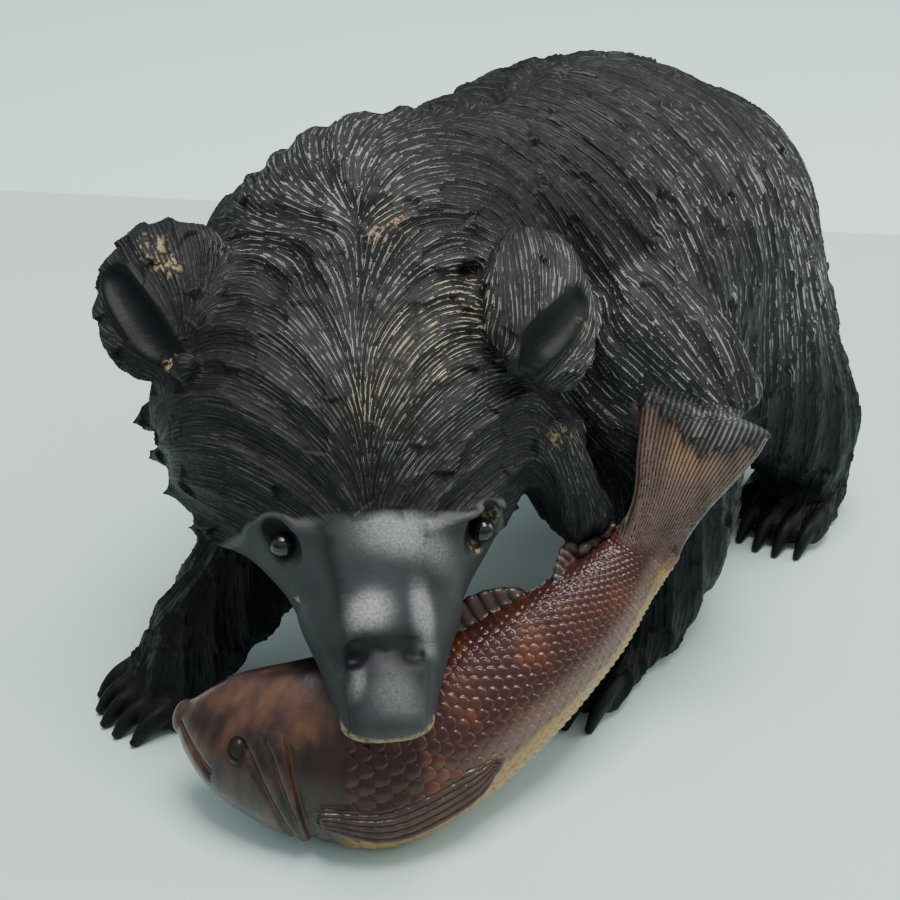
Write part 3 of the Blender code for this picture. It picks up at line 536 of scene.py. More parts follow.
def field_grid(voxel, low, high):
    """Distances on a grid, worked out finely near the surface only."""
    coarse = COARSE_STEPS * voxel
    count = np.ceil((high - low) / coarse).astype(int) + 1
    fine = distance_to_carving(low + np.argwhere(np.ones(count, bool)) * coarse).reshape(count)
    for axis in range(3):
        spot = np.arange((count[axis] - 1) * COARSE_STEPS + 1) / COARSE_STEPS
        lower = np.minimum(spot.astype(int), count[axis] - 2)
        share = (spot - lower).reshape([-1 if i == axis else 1 for i in range(3)])
        fine = np.take(fine, lower, axis) * (1 - share) + np.take(fine, lower + 1, axis) * share
    near = np.abs(fine) < coarse * 1.4
    fine[near] = distance_to_carving(low + np.argwhere(near) * voxel)
    return fine

# %% Objects made of points, and modifiers
def named_object(name, places, faces):
    """An object of its own, made of points and faces."""
    mesh = bpy.data.meshes.new(name)
    mesh.from_pydata(places.tolist(), [], faces.tolist())
    obj = bpy.data.objects.new(name, mesh)
    bpy.context.scene.collection.objects.link(obj)
    return obj


def modified(obj, kind, **settings):
    """Adds one modifier to an object and makes its result the object's mesh."""
    modifier = obj.modifiers.new(kind, kind)
    for key, value in settings.items():
        setattr(modifier, key, value)
    graph = bpy.context.evaluated_depsgraph_get()
    mesh = bpy.data.meshes.new_from_object(obj.evaluated_get(graph))
    obj.modifiers.clear()
    old, obj.data = obj.data, mesh
    bpy.data.meshes.remove(old)
    return obj

# %% The rough blank
def rough_blank(voxel):
    """One point in each cell that the surface passes through."""
    low = np.min([mass.low for mass in ALL_MASSES], 0)
    field = field_grid(voxel, low, np.max([mass.high for mass in ALL_MASSES], 0))
    cells = np.array(field.shape) - 1
    places, owners, quads = [], [], []
    for axis in range(3):
        ends = np.arange(cells[axis])
        lower, upper = np.take(field, ends, axis), np.take(field, ends + 1, axis)
        spots = np.argwhere((lower < 0) != (upper < 0))
        lower, upper = lower[tuple(spots.T)], upper[tuple(spots.T)]
        place = spots.astype(float)
        place[:, axis] += lower / (lower - upper)
        around = []
        for steps in ((0, 0), (1, 0), (1, 1), (0, 1)):
            cell = spots.copy()
            cell[:, [(axis + 1) % 3, (axis + 2) % 3]] -= steps
            around.append(np.ravel_multi_index(cell.T, cells))
            places.append(place)
            owners.append(around[-1])
        quad = np.stack(around, 1)
        quads.append(np.where((lower < 0)[:, None], quad, quad[:, ::-1]))
    numbers, index = np.unique(np.concatenate(owners), return_inverse=True)
    places = np.concatenate(places)
    points = np.stack([np.bincount(index, places[:, i]) for i in range(3)], 1)
    points /= np.bincount(index)[:, None]
    faces = np.searchsorted(numbers, np.concatenate(quads))
    blank = named_object("blank", low + points * voxel, faces)
    return modified(blank, "REMESH", mode="VOXEL", voxel_size=voxel)

# %% Reading and moving the points of a mesh
def read(items, key, width, kind=float):
    """One property of all points, edges or faces as a table, one row each."""
    flat = np.empty(len(items) * width, kind)
    items.foreach_get(key, flat)
    return flat.reshape(-1, width)


def coordinates(mesh):
    return read(mesh.vertices, "co", 3)


def normals(mesh):
    return read(mesh.vertex_normals, "vector", 3)


def move_to(mesh, points):
    mesh.vertices.foreach_set("co", points.ravel())
    mesh.update()

# %% Fitting the blank to the form
STEP_LIMIT = 3.0
REACH_IN_VOXELS = 1.5


def relaxed(points, edges, share=0.5):
    """Each point moved part of the way to the middle of its neighbours."""
    (a, b), size = edges.T, len(points)
    count = np.bincount(a, minlength=size) + np.bincount(b, minlength=size)
    sums = [np.bincount(a, at[b], size) + np.bincount(b, at[a], size) for at in points.T]
    return points + share * (np.stack(sums, 1) / count[:, None] - points)


def fit_to_carving(mesh, rounds=6):
    """Moves points onto the carved surface, evenly spread."""
    edges = read(mesh.edges, "vertices", 2, int)
    start = points = coordinates(mesh)
    for step in range(rounds):
        if step < rounds - 2:
            points = relaxed(points, edges)
        for _ in range(2):
            move_to(mesh, points)
            gap = np.clip(distance_to_carving(points), -STEP_LIMIT, STEP_LIMIT)
            points = points - normals(mesh) * gap[:, None]
            strayed = np.linalg.norm(points - start, axis=1) > REACH_IN_VOXELS * BLANK_VOXEL
            points[strayed] = start[strayed]
    move_to(mesh, points)


block = rough_blank(BLANK_VOXEL)
fit_to_carving(block.data)
print("the blank has", len(block.data.vertices), "points")

# %% [markdown]
# ## Where the solid stands
#
# The two eyes are the landmarks: their centres are known both in the drawing and in the solid, so
# they give the size of one carver's unit and the shift between the two.

# %% Size of a unit, and the shift
def middle(node):
    return np.mean([list(corner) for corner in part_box(node)], 0)


eye_names = {-1: "bear_eye_right", 1: "bear_eye_left"}
drawn = {side: eye - EYE_OUTWARD * EYE_SINK for side, eye in EYES.items()}
solid = {side: middle(name) for side, name in eye_names.items()}
U = np.linalg.norm(solid[1] - solid[-1]) / np.linalg.norm(drawn[1] - drawn[-1])
shift = solid[1] - drawn[1] * U
print("one unit is", round(U * 1000, 4), "mm, shift", shift.round(4), "m")

# %% [markdown]
# ## Where there is fur, and which way it lies
#
# Claws, salmon, muzzle, eye sockets and the troughs of the ears are bare. Elsewhere the hair has a
# lie: back from the nose and out over the cheeks, from the spine down the flanks, down the legs.
# On the crown it parts from a star. Each mass knows its own lie, and near a border the lies mix.

# %% Share of fur
MUZZLE_EDGE = -37.5


def gap_to(mass, points):
    """Distance to one mass, or simply far when not near it."""
    gap = np.full(len(points), FAR)
    near = mass.near(points)
    if near.any():
        gap[near] = mass.distance(points[near])
    return gap


def nearest(points, masses):
    return np.min([gap_to(mass, points) for mass in masses], 0)


def on_head(points):
    """To the left on the head, forward, and along its slanting axis."""
    return [(points - HEAD_BASE) @ way for way in (HEAD_LEFT, HEAD_FORWARD, HEAD_AXIS)]


def share_of_fur(points):
    """1 on fur, 0 on claws, salmon, bare muzzle and hollows."""
    fur = nearest(points, FURRED)
    bare = np.minimum(nearest(points, CLAWS), nearest(points, FINS + [FISH]))
    share = held((bare - fur) / 2 + 0.3)
    headed = nearest(points, [SKULL, MUZZLE]) < fur + 6
    share = np.where(headed, share * held((MUZZLE_EDGE - on_head(points)[2]) / 3), share)
    for cut in SMOOTH_CUTS:
        share *= held(gap_to(cut, points) / 2 - 0.4)
    for side, eye in EYES.items():
        under_brow = head_point(side * 34 + 1.5, 33, 99)
        from_eye = [np.linalg.norm(points - spot, axis=1) for spot in (eye, under_brow)]
        share *= held((np.minimum(*from_eye) - 9) / 2)
    return share

# %% Lie of the fur
CROWN_STAR = (-19.0, 17.0, 184.0)
DOWN = (0, 0, -1)
LIE_BLEND = 5


def mixed(*terms):
    """Directions added up, each by its own amount."""
    return sum(np.atleast_1d(amount)[:, None] * np.asarray(way)[None] for amount, way in terms)


def lie_of_fur(points):
    """The way the hair runs at each point."""
    side, x = on_head(points)[0], points[:, 0]
    away = np.clip(np.abs(side) / 48, 0, 1.4)

    def towards(goal):
        return unit(np.asarray(goal) - points)

    head = mixed(
        (-np.maximum(1.1 - 0.8 * away, 0.1), HEAD_AXIS),
        (np.tanh(side / 5) * (0.4 + 0.75 * away), HEAD_LEFT),
        (1.3 * np.clip(away - 0.75, 0, 1), DOWN),
    )
    flank = 3 + 3 * ((x + 16) / 62) ** 2
    body = unit(mixed((1, (0, 1, 0)), (4 * np.tanh((x + 30) / 15), (1, 0, 0)), (flank, DOWN)))
    hump = mixed((0.5 * np.tanh((x + 36) / 10), (1, 0, 0)), (1, (0, 0.9, -0.35)))
    from_star = points - CROWN_STAR
    near = held(1.3 - np.linalg.norm(from_star, axis=1) / 42)[:, None]
    behind = held(0.5 - from_star @ HEAD_AXIS / 10)[:, None]
    parting = behind * unit(from_star) + (1 - behind) * unit(head)
    hump = (1 - near) * unit(hump) + near * parting
    leg, paw = (mixed((np.ones(len(points)), way)) for way in ((0, 0.1, -1), (0, -0.8, -0.6)))
    skirt = towards(SKIRT.centres[-1] + [2, 2, -6])
    roots = (towards(head_point(*place)) for place in ((-44, -6, 138), (44, 2, 138)))
    lies = [
        *zip((BARREL, RUMP, STUB_TAIL), (body,) * 3),
        (HUMP, hump), (RIGHT_SHOULDER, 0.5 * body + 0.8 * leg), (THROAT, leg),
        (LEFT_SHOULDER, skirt), (SKIRT, skirt),
        *((mass, leg) for mass in LEGS), *((mass, paw) for mass in PADS),
        *((mass, head) for mass in (SKULL, JAW, *RELIEFS)), *zip(EARS, roots),
    ]
    gaps = np.array([gap_to(mass, points) for mass, _ in lies])
    weights = np.exp(-(gaps - gaps.min(0)) / LIE_BLEND)
    return unit(sum(w[:, None] * unit(lie) for w, (_, lie) in zip(weights, lies)))


blank_points = coordinates(block.data)
fur, ways = share_of_fur(blank_points), lie_of_fur(blank_points)
print("fur on", round(100 * (fur > 0.5).mean()), "percent of the blank")

# %% [markdown]
# ## Gouge strokes
#
# Each stroke of the gouge is a line that follows the lie. Strokes are drawn one by one and stop
# before they run into a neighbour, which spaces them evenly, as a carver does by eye. The head has
# the finest strokes; on the flanks and legs they are broader.

# %% Tracing strokes over the blank
surface = bvhtree.BVHTree.FromPolygons(
    blank_points.tolist(), [tuple(face.vertices) for face in block.data.polygons]
)
corners = [face.vertices[0] for face in block.data.polygons]
lies = [Vector(ways[i]) if fur[i] > 0.2 else None for i in corners]
START_GAP, STOP_GAP, STEP = 0.85, 0.5, 0.5  # shares of the pitch
LENGTH_RANGE = (1.2, 2.6)


def trace_strokes(pitches, lengths, roots, seed):
    """Strokes as rows: place, direction, pitch, share of the stroke passed so far, tone."""
    cells, made = {}, []
    widest = max(pitches)
    chance, tones = random.Random(seed), random.Random(seed + 100)

    def cell_of(place):
        return [int(c // widest) for c in place]

    def crowded(place, own, limit):
        for cell in itertools.product(*((c - 1, c, c + 1) for c in cell_of(place))):
            for other, number in cells.get(cell, ()):
                if number != own and (other - place).length_squared < limit:
                    return True
        return False

    for number, root in enumerate(roots):
        place, normal, face, _ = surface.find_nearest(root)
        pitch = pitches[face]
        if crowded(place, number, (START_GAP * pitch) ** 2):
            continue
        tone = tones.random()
        steps = int(lengths[face] * chance.uniform(*LENGTH_RANGE))
        for i in range(steps):
            ahead = lies[face]
            if ahead is None or i and crowded(place, number, (STOP_GAP * pitch) ** 2):
                break
            ahead = ahead - normal * ahead.dot(normal)
            if ahead.length < 0.1:
                break
            ahead.normalize()
            made.append((place, ahead, pitch, i / steps, tone))
            cells.setdefault(tuple(cell_of(place)), []).append((place, number))
            place, normal, face, _ = surface.find_nearest(place + ahead * (STEP * pitch))
    return made

# %% Broad cuts, fine cuts
LOCK_PITCH, STROKE_LENGTH = 11.0, 4
HEAD_PITCH, SHOULDER_PITCH, BODY_PITCH = 1.25, 1.8, 2.4
HAIR_LENGTH = 14.0
ZONE_BLEND = 4
SEED = 7


def pitch_of_hair(points):
    """Fine strokes on the head, broader ones further back."""
    zones = (
        [SKULL, JAW, *EARS],
        [HUMP, RIGHT_SHOULDER],
        [BARREL, LEFT_SHOULDER, RUMP, *LEGS, *PADS],
    )
    gaps = np.array([nearest(points, zone) for zone in zones])
    weights = np.exp(-gaps / ZONE_BLEND + np.min(gaps, 0) / ZONE_BLEND)
    pitches = np.array([HEAD_PITCH, SHOULDER_PITCH, BODY_PITCH])
    return (weights * pitches[:, None]).sum(0) / weights.sum(0)


def traced(pitch_of_face, lengths, tries, seed):
    """Strokes over the whole blank, from points in a random order."""
    chance = np.random.default_rng(seed)
    furred = np.flatnonzero(fur > 0.5)
    order = np.concatenate([chance.permutation(furred) for _ in range(tries)])
    nudge = chance.normal(size=(len(order), 3)) * 0.5 * (tries > 1)
    roots = [Vector(blank_points[i] + n) for i, n in zip(order, nudge)]
    return trace_strokes(pitch_of_face, lengths, roots, seed)


pitches = pitch_of_hair(blank_points)
hair_pitches = [float(pitches[i]) for i in corners]
hair_lengths = [HAIR_LENGTH / pitch for pitch in hair_pitches]
locks = traced([LOCK_PITCH] * len(corners), [STROKE_LENGTH] * len(corners), 1, SEED)
hairs = traced(hair_pitches, hair_lengths, 3, SEED + 1)
print(len(locks), "places on broad strokes and", len(hairs), "on fine ones")

# %% [markdown]
# ## Finer faces where the knife was finer
#
# One mesh fine enough for the hair on the forehead would be far too heavy on the belly. The form
# is therefore refined once everywhere, and once more only on the head, ears and salmon. Each region
# becomes a piece of its own. All pieces come from the same mesh, so their edges meet exactly.

# %% Refining the blank
def refined(obj):
    """Splits each face in four, without rounding anything."""
    return modified(obj, "SUBSURF", subdivision_type="SIMPLE", levels=1, render_levels=1)


def settle(mesh, points, outward, rounds=2):
    """Moves points onto the form along their outward direction."""
    for _ in range(rounds):
        gap = np.clip(distance_to_carving(points), -1.5, 1.5)
        points = points - outward * gap[:, None]
    move_to(mesh, points)
    return points


form = refined(block).data
outward = normals(form)
points = settle(form, coordinates(form), outward)
print("the refined form has", len(points), "points")

# %% [markdown]
# ## Regions
#
# A face belongs to the salmon, the face, one of the two halves of the crown, the shoulders, the
# back or the legs. The borders run where a carver would stop a cut anyway: along the parting of the
# forehead, at the root of a leg, and where the fish leaves the mouth. The undersides of the head
# and of the salmon need no fine faces, so they are pieces of their own.

# %% Naming the regions
FACE_EDGE = -60.0
PARTING = 1
SHOULDERS_END, FRONT_LEGS_END = 108, 62
TOWARDS_VIEWER = np.array([0.52, -0.62, 0.59])
quads = read(form.polygons, "vertices", 4, int)


def spread(values, rounds):
    """Evens out a value over the faces round each point."""
    faces_round = np.bincount(quads.ravel(), minlength=len(values))
    for _ in range(rounds):
        on_faces = np.repeat(values[quads].mean(1), 4)
        values = np.bincount(quads.ravel(), on_faces, len(values)) / faces_round
    return values


beside_head, _, along_head = on_head(points)
owner = np.array([
    nearest(points, [FISH, *FINS]) + 0.3,
    nearest(points, [SKULL, MUZZLE, JAW, *RELIEFS, *EARS]),
    nearest(points, TRUNK) - 2,
    nearest(points, [*LEGS, *PADS, *CLAWS]),
]).argmin(0)
salmon, head, trunk = (owner == number for number in range(3))
seen = spread(outward @ TOWARDS_VIEWER, 12) > -0.1
CHOICES = {
    "salmon_outer_side": salmon & seen,
    "salmon_inner_side": salmon,
    "head_underside": head & ~seen,
    "bear_face": head & (along_head > FACE_EDGE),
    "crown_left": head & (beside_head > PARTING),
    "crown_right": head,
    "shoulders": trunk & (points[:, 1] <= SHOULDERS_END),
    "back_and_rump": trunk,
    "front_legs": points[:, 1] < FRONT_LEGS_END,
    "hind_legs": points[:, 1] > -FAR,
}
NAMES = list(CHOICES)
FINE = {"salmon_outer_side", "bear_face", "crown_left", "crown_right"}
region_of_face = np.select(list(CHOICES.values()), range(len(NAMES)))[quads].max(1)
for number, name in enumerate(NAMES):
    print(name, (region_of_face == number).sum(), "faces before refining")

# %% [markdown]
# ## The relief
#
# Three things shape the skin of the wood. Broad gouge cuts set the locks. Fine cuts lie over them:
# each one has the shape of a leaf, shallow and narrow at both ends, as a gouge leaves it when it
# dips into the wood and comes out again. The bare wood of the face lies a little lower, because it
# was sanded after the fur was cut.

# %% Reading the nearest stroke
class Marks:
    """Strokes, with a quick way to find the nearest one."""

    def __init__(self, strokes):
        self.tree = kdtree.KDTree(len(strokes))
        for i, stroke in enumerate(strokes):
            self.tree.insert(stroke[0], i)
        self.tree.balance()
        self.places, self.ways = (np.array([stroke[i] for stroke in strokes]) for i in (0, 1))
        self.pitches, self.shares, self.tones = np.array([stroke[2:] for stroke in strokes]).T

    def nearest(self, points):
        return np.array([self.tree.find(point)[1] for point in points])

    def across(self, found, points):
        """The way from strokes to points, across the strokes."""
        way = self.ways[found]
        away = points - self.places[found]
        return away - (away * way).sum(-1, keepdims=True) * way

    def edge(self, found, points):
        """0 in the middle of a stroke, 1 halfway to the next."""
        off = np.linalg.norm(self.across(found, points), axis=-1)
        return held(off / (0.5 * self.pitches[found])) ** 2


lock_marks, hair_marks = Marks(locks), Marks(hairs)
LINE_REACH = 1.3


def hair_lines(points, facing, faces):
    """Where each corner of a face lies across its nearest hair; corners keep lines crisp."""
    found = hair_marks.nearest(points[faces].mean(1))[:, None]
    aside = np.cross(facing[faces].mean(1)[:, None], hair_marks.ways[found])
    off = (hair_marks.across(found, points[faces]) * aside).sum(2)
    off = np.clip(off / (0.5 * hair_marks.pitches[found]), -LINE_REACH, LINE_REACH)
    leaf = np.sin(math.pi * held(hair_marks.shares[found]))
    whole = {"hair_tone": hair_marks.tones[found], "hair_leaf": leaf}
    return {"across_hair": off} | {k: np.broadcast_to(v, off.shape) for k, v in whole.items()}

# %% Rays of the fins, and the mane of the shoulder that hangs over the tail
RAYS = tuple(zip(FINS, (27, 9, 5, 6), (True, False, False, True)))
FRINGE = (
    (-1.0, 1.0), (-0.65, 0.90), (-0.1, 0.77), (0.3, 0.85), (0.8, 0.975), (1.0, 0.955), (1.2, 0.90)
)


def fin_rays(points):
    """Straight grooves over the tail and fins, 0 in a groove."""
    rays = np.ones(len(points))
    for fin, count, lengthwise in RAYS:
        near = gap_to(fin, points) < 1.0
        if near.any():
            _, rise, _, radii, place = fin.local(points[near])
            across = rise / radii[:, 1] * count / 2 if lengthwise else place * count
            rays[near] = np.minimum(rays[near], np.abs(np.sin(math.pi * across)) ** 0.7)
    return rays


def fringe(points):
    """Where fur hides the end of the tail, that on the tail alone, its grooves."""
    hidden, cover, grooves = np.zeros(len(points)), np.zeros(len(points)), np.ones(len(points))
    near = gap_to(TAIL, points) < 4.0
    if near.any():
        _, rise, _, radii, place = TAIL.local(points[near])
        across = np.clip(rise / radii[:, 1], -1.2, 1.2)
        edge = np.interp(across, *zip(*FRINGE))
        edge += 0.022 * np.sin(across * 17) + 0.018 * np.sin(across * 41 + 1)
        hidden[near] = held((place - edge) / 0.02 + 0.5)
        cover[near] = hidden[near] * held((1.05 - across) / 0.06)
        wander = across * 38 + place * 7 + 0.5 * np.sin(across * 5 + place * 12)
        grooves[near] = np.abs(np.sin(wander))
    return hidden, cover, grooves

# %% Where each point lies on the salmon
def salmon_masks(points):
    """Place along and across the fish, its scales, fins and eye."""
    names = ("nose_to_tail", "belly_to_back", "scale", "fin", "fish_eye")
    masks = {name: np.zeros(len(points)) for name in names}
    body, fins = gap_to(FISH, points), nearest(points, FINS)
    near = np.minimum(body, fins) < 4
    if near.any():
        _, rise, _, radii, place = FISH.local(points[near])
        across = np.clip(rise / radii[:, 1], -1, 1)
        fin = held((body - fins)[near] / 1.5 + 0.5)
        eye = held(4.6 - from_fish_eye(place, across))
        for name, values in zip(names, (place, across, scales_at(place, across), fin, eye)):
            masks[name][near] = values
    return masks

# %% Where hands have worn the stain, and where painted sheen lies
STAIN_WORN = 0.12
# Spots mostly on the bear's lit left side: the ridges there are grey from wear and also carry
# painted sheen.
WORN_AND_SHEEN_SPOTS = (  # place, radius, amount
    ((42, 128, 160), 48, 1.0),
    ((52, 75, 135), 52, 1.0),
    ((50, 180, 125), 62, 1.0),
    (head_point(12, 5, 155), 45, 1.0),
    (head_point(62, -2, 160), 26, 1.0),
    ((-38, 15, 195), 50, 0.85),
    ((60, 90, 112), 24, 1.0),
)


def rubbed(points):
    """How much the fur ridges are worn grey; on the lit left side this also paints sheen."""
    share = np.full(len(points), STAIN_WORN)
    for centre, radius, amount in WORN_AND_SHEEN_SPOTS:
        inside = held(1.2 - np.linalg.norm(points - centre, axis=1) / radius)
        more = (amount - STAIN_WORN) * np.sin(inside * math.pi / 2) ** 2
        share = np.maximum(share, STAIN_WORN + more)
    return share

# %% Muzzle: planes left by the knife, painted sheen and painted shade
MUZZLE_TOP = (119.0, -0.8)
# Patches of painted sheen on the sanded top of the muzzle, where the overhead light shines back.
MUZZLE_PAINTED_SHEEN = (  # side, forward, half width, half length, amount
    (8, 38, 13, 4.4, 1.0),
    (-3, 53, 6.8, 4.0, 1.0),
    (13.5, 52, 3.2, 5.6, 1.0),
    (4, 70, 8, 4.8, 0.28),
    (-8, 66, 2.5, 3, 0.6),
)


def past_edge(side, forward):
    """How far to the side of the edge of the muzzle's top a place is."""
    return np.abs(side - 1) - np.interp(forward, (30, 45, 68), (18, 13, 11))


def muzzle_masks(points):
    """Painted sheen and painted shade on the muzzle, and its raw rim."""
    side, forward, _ = on_head(points)
    shine = np.zeros(len(points))
    for s, f, across, along, amount in MUZZLE_PAINTED_SHEEN:
        off = np.hypot((side - s) / across, (forward - f) / along)
        shine += amount * np.exp(-(off**3))
    groove = bell((forward - 60.5 + 0.2 * np.abs(side - 3)) / 2.1)
    # Painted shade along the edges of the muzzle's top plane, stronger on the bear's right, and in
    # the groove above the nose pad.
    shade = np.maximum(
        bell(past_edge(side, forward) / 2.6) * np.where(side < 1, 0.65, 0.3),
        0.8 * groove * held((17 - np.abs(side - 2)) / 4),
    )
    raw = held((forward - 64) / 3) * held((60.5 - points[:, 2]) / 2)
    return {"shine": held(shine) * (1 - shade), "shade": shade, "raw": raw}


def knife_planes(points):
    """Edges between the planes, and the groove above the nose pad."""
    side, forward, _ = on_head(points)
    top = held((points[:, 2] - (MUZZLE_TOP[0] + MUZZLE_TOP[1] * forward)) / 4)
    edge = past_edge(side, forward)
    planes = 0.8 * bell(edge / 1.8) - 0.5 * bell((edge + 5) / 3)
    planes -= 0.5 * bell((forward - 46) / 4)
    off = np.abs(side - 1)
    groove = bell((forward - 60.5 + 0.2 * off) / 1.9) * (off < 15)
    return top * (planes - groove)

# %% Height of the skin over the form, and the masks for the stain
LOCK_DEPTH = 2.0
HAIR_DEPTH = 0.27
SANDED_DEPTH = 0.5
RAY_DEPTH = 0.7
SCALE_CUT = 0.7


def relief(points):
    """Height over the form, with masks for the stain."""
    fur = share_of_fur(points)
    lock = lock_marks.edge(lock_marks.nearest(points), points)
    found = hair_marks.nearest(points)
    edge, pitch = hair_marks.edge(found, points), hair_marks.pitches[found]
    leaf = np.sin(math.pi * np.clip(hair_marks.shares[found], 0.03, 0.97) ** 0.8) ** 0.5
    ridge = 1 - leaf * held(1 - edge / (0.3 + 0.7 * leaf) ** 2)
    hair = pitch * HAIR_DEPTH * (ridge - 0.5)
    headed = nearest(points, [SKULL, MUZZLE]) < 4
    fish = nearest(points, [FISH, *FINS])
    bear = nearest(points, [*FURRED, MUZZLE, *CLAWS])
    salmon = held((bear - fish) / 0.8 + 0.5)
    rays, more = fin_rays(points), salmon_masks(points)
    hidden, cover, grooves = fringe(points)
    bare = (1 - fur) * headed * (1 - salmon)
    height = fur * (LOCK_DEPTH * (lock - 0.6) + hair)
    height += bare * (knife_planes(points) - SANDED_DEPTH)
    height += salmon * (RAY_DEPTH * (rays - 1) * (1 - hidden) + cover * (0.9 + 0.4 * grooves))
    scaled = salmon * (1 - more["fin"]) * (more["nose_to_tail"] > SCALES_FROM)
    height += scaled * SCALE_CUT * (more["scale"] - 0.6)
    ridge = np.where(cover > 0.5, 0.1 + 0.5 * grooves**4, ridge)
    side, _, along = on_head(points)
    rim = 4 * fur * (1 - fur) * headed * (1 - salmon) * (along > MUZZLE_EDGE - 8)
    rim *= np.clip((np.abs(side - 1) - 14) / 7, 0.15, 1)
    masks = {"fur": np.maximum(fur, hidden), "ridge": ridge, "rays": rays, "rim": rim}
    masks |= {"salmon": salmon * (1 - hidden), "rubbed": rubbed(points), "cover": cover}
    return height, masks | more | muzzle_masks(points)


print("fur", LOCK_DEPTH, "deep, sanded wood", SANDED_DEPTH)

# %% [markdown]
# ## Cutting the pieces
#
# Each region is taken with a narrow margin of its neighbours, shaped, and then trimmed back to its
# border. The shading directions are worked out before the trim, so light runs across the joints as
# it does over one block of wood.

# %% The margin and the border of a piece
MARGIN_RINGS = 3


def with_margin(chosen):
    """The chosen faces with a few rings of faces round them."""
    for _ in range(MARGIN_RINGS):
        touched = np.zeros(len(points), bool)
        touched[quads[chosen]] = True
        chosen = touched[quads].any(1)
    return chosen


def border_edges(faces, own):
    """Edges between the piece and its margin, as pairs of points."""
    pairs = np.sort(np.stack([faces, np.roll(faces, -1, 1)], 2).reshape(-1, 2), axis=1)
    base, inside = faces.max() + 1, np.repeat(own, 4)
    keys = pairs[:, 0] * base + pairs[:, 1]
    shared = np.intersect1d(keys[inside], keys[~inside])
    return np.stack([shared // base, shared % base], 1)

# %% Cutting one piece
def cut_piece(name, chosen, fine):
    """One region as its own object, with its relief and masks."""
    faces = np.flatnonzero(with_margin(chosen))
    used, index = np.unique(quads[faces], return_inverse=True)
    local, own = index.reshape(-1, 4), chosen[faces]
    obj = named_object(name, points[used], local)
    placed, facing = points[used], outward[used]
    if fine:
        edges = read(obj.data.edges, "vertices", 2, int)
        order = {tuple(pair): i for i, pair in enumerate(np.sort(edges, axis=1).tolist())}
        border = border_edges(local, own)
        middles = np.array([order[tuple(pair)] for pair in border.tolist()]) + len(used)
        facing = unit(np.vstack([facing, facing[edges].mean(1), facing[local].mean(1)]))
        refined(obj)
        own = np.repeat(own, 4)
        placed = settle(obj.data, coordinates(obj.data), facing, 1)
    corners = read(obj.data.loops, "vertex_index", 1, int).reshape(-1, 4)[own]
    lines = hair_lines(placed, facing, corners)
    height, masks = relief(placed)
    placed = placed + facing * height[:, None]
    placed[:, 2] = np.maximum(placed[:, 2], 0)
    if fine:
        placed[middles] = placed[border].mean(1)
    move_to(obj.data, placed * U + shift)
    return trimmed(obj, corners, masks, lines)

# %% Trimming it to its border
def trimmed(obj, kept, masks, lines):
    """Keeps some faces and their shading, and stores the masks."""
    name, shading, placed = obj.name, normals(obj.data), coordinates(obj.data)
    bpy.data.meshes.remove(obj.data)
    used, index = np.unique(kept, return_inverse=True)
    obj = named_object(name, placed[used], index.reshape(-1, 4))
    obj.data.shade_smooth()
    obj.data.normals_split_custom_set_from_vertices(shading[used].tolist())
    values = {mask: (value[used], "POINT") for mask, value in masks.items()}
    values |= {line: (value.ravel(), "CORNER") for line, value in lines.items()}
    for key, (value, domain) in values.items():
        layer = obj.data.attributes.new(key, "FLOAT", domain)
        layer.data.foreach_set("value", value.astype(np.float32))
    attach(obj, "root")
    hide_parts("bear_and_salmon")
    print(name, "has", 2 * len(obj.data.polygons), "triangles")
    return obj

# %% All pieces of the wood
wood = [
    cut_piece(name, region_of_face == number, name in FINE)
    for number, name in enumerate(NAMES)
]
bpy.data.objects.remove(block)
print("all wood together:", sum(2 * len(obj.data.polygons) for obj in wood), "triangles")

# %% [markdown]
# ## The stain
#
# The bear was stained almost black, and handling has worn the ridges of the fur back to grey and
# here and there to yellow wood. The salmon has a red-brown lacquer. All of it is one material,
# since it is one block; masks on the points tell which finish goes where. Some masks also paint
# light and shade into the colour: sheen on the muzzle and on the bear's lit left side, shade along
# the muzzle's edges, in the nostrils and low on the legs, and light on the salmon's lower flank.
# Colours, gloss and grain come from nodes alone, with no picture.

# %% A small kit for node materials: values
class Value:
    """A number or colour that nodes work out; sums of values add nodes."""

    def __init__(self, stain, socket):
        self.stain, self.socket = stain, socket

    def sums(self, operation, first, second=0.0, **settings):
        return self.stain.node("Math", {0: first, 1: second}, operation=operation, **settings)

    def __add__(self, other):
        return self.sums("ADD", self, other)

    def __mul__(self, other):
        return self.sums("MULTIPLY", self, other)

    def __sub__(self, other):
        return self.sums("SUBTRACT", self, other)

    def __rsub__(self, other):
        return self.sums("SUBTRACT", other, self)

    def largest(self, other):
        return self.sums("MAXIMUM", self, other)

    def span(self, low, high, start=0.0, end=1.0):
        """Stretches low to high onto start to end, softly."""
        ends = {"From Min": low, "From Max": high, "To Min": start, "To Max": end}
        return self.stain.node("MapRange", {"Value": self} | ends, interpolation_type="SMOOTHSTEP")

    def ramp(self, *stops):
        """Colours at places from 0 to 1, with all shades between them."""
        colour = self.stain.node("ValToRGB", {"Fac": self})
        points = colour.socket.node.color_ramp.elements
        while len(points) < len(stops):
            points.new(0.5)
        for point, (place, shade) in zip(points, stops):
            point.position, point.color = place, (*shade, 1)
        return colour

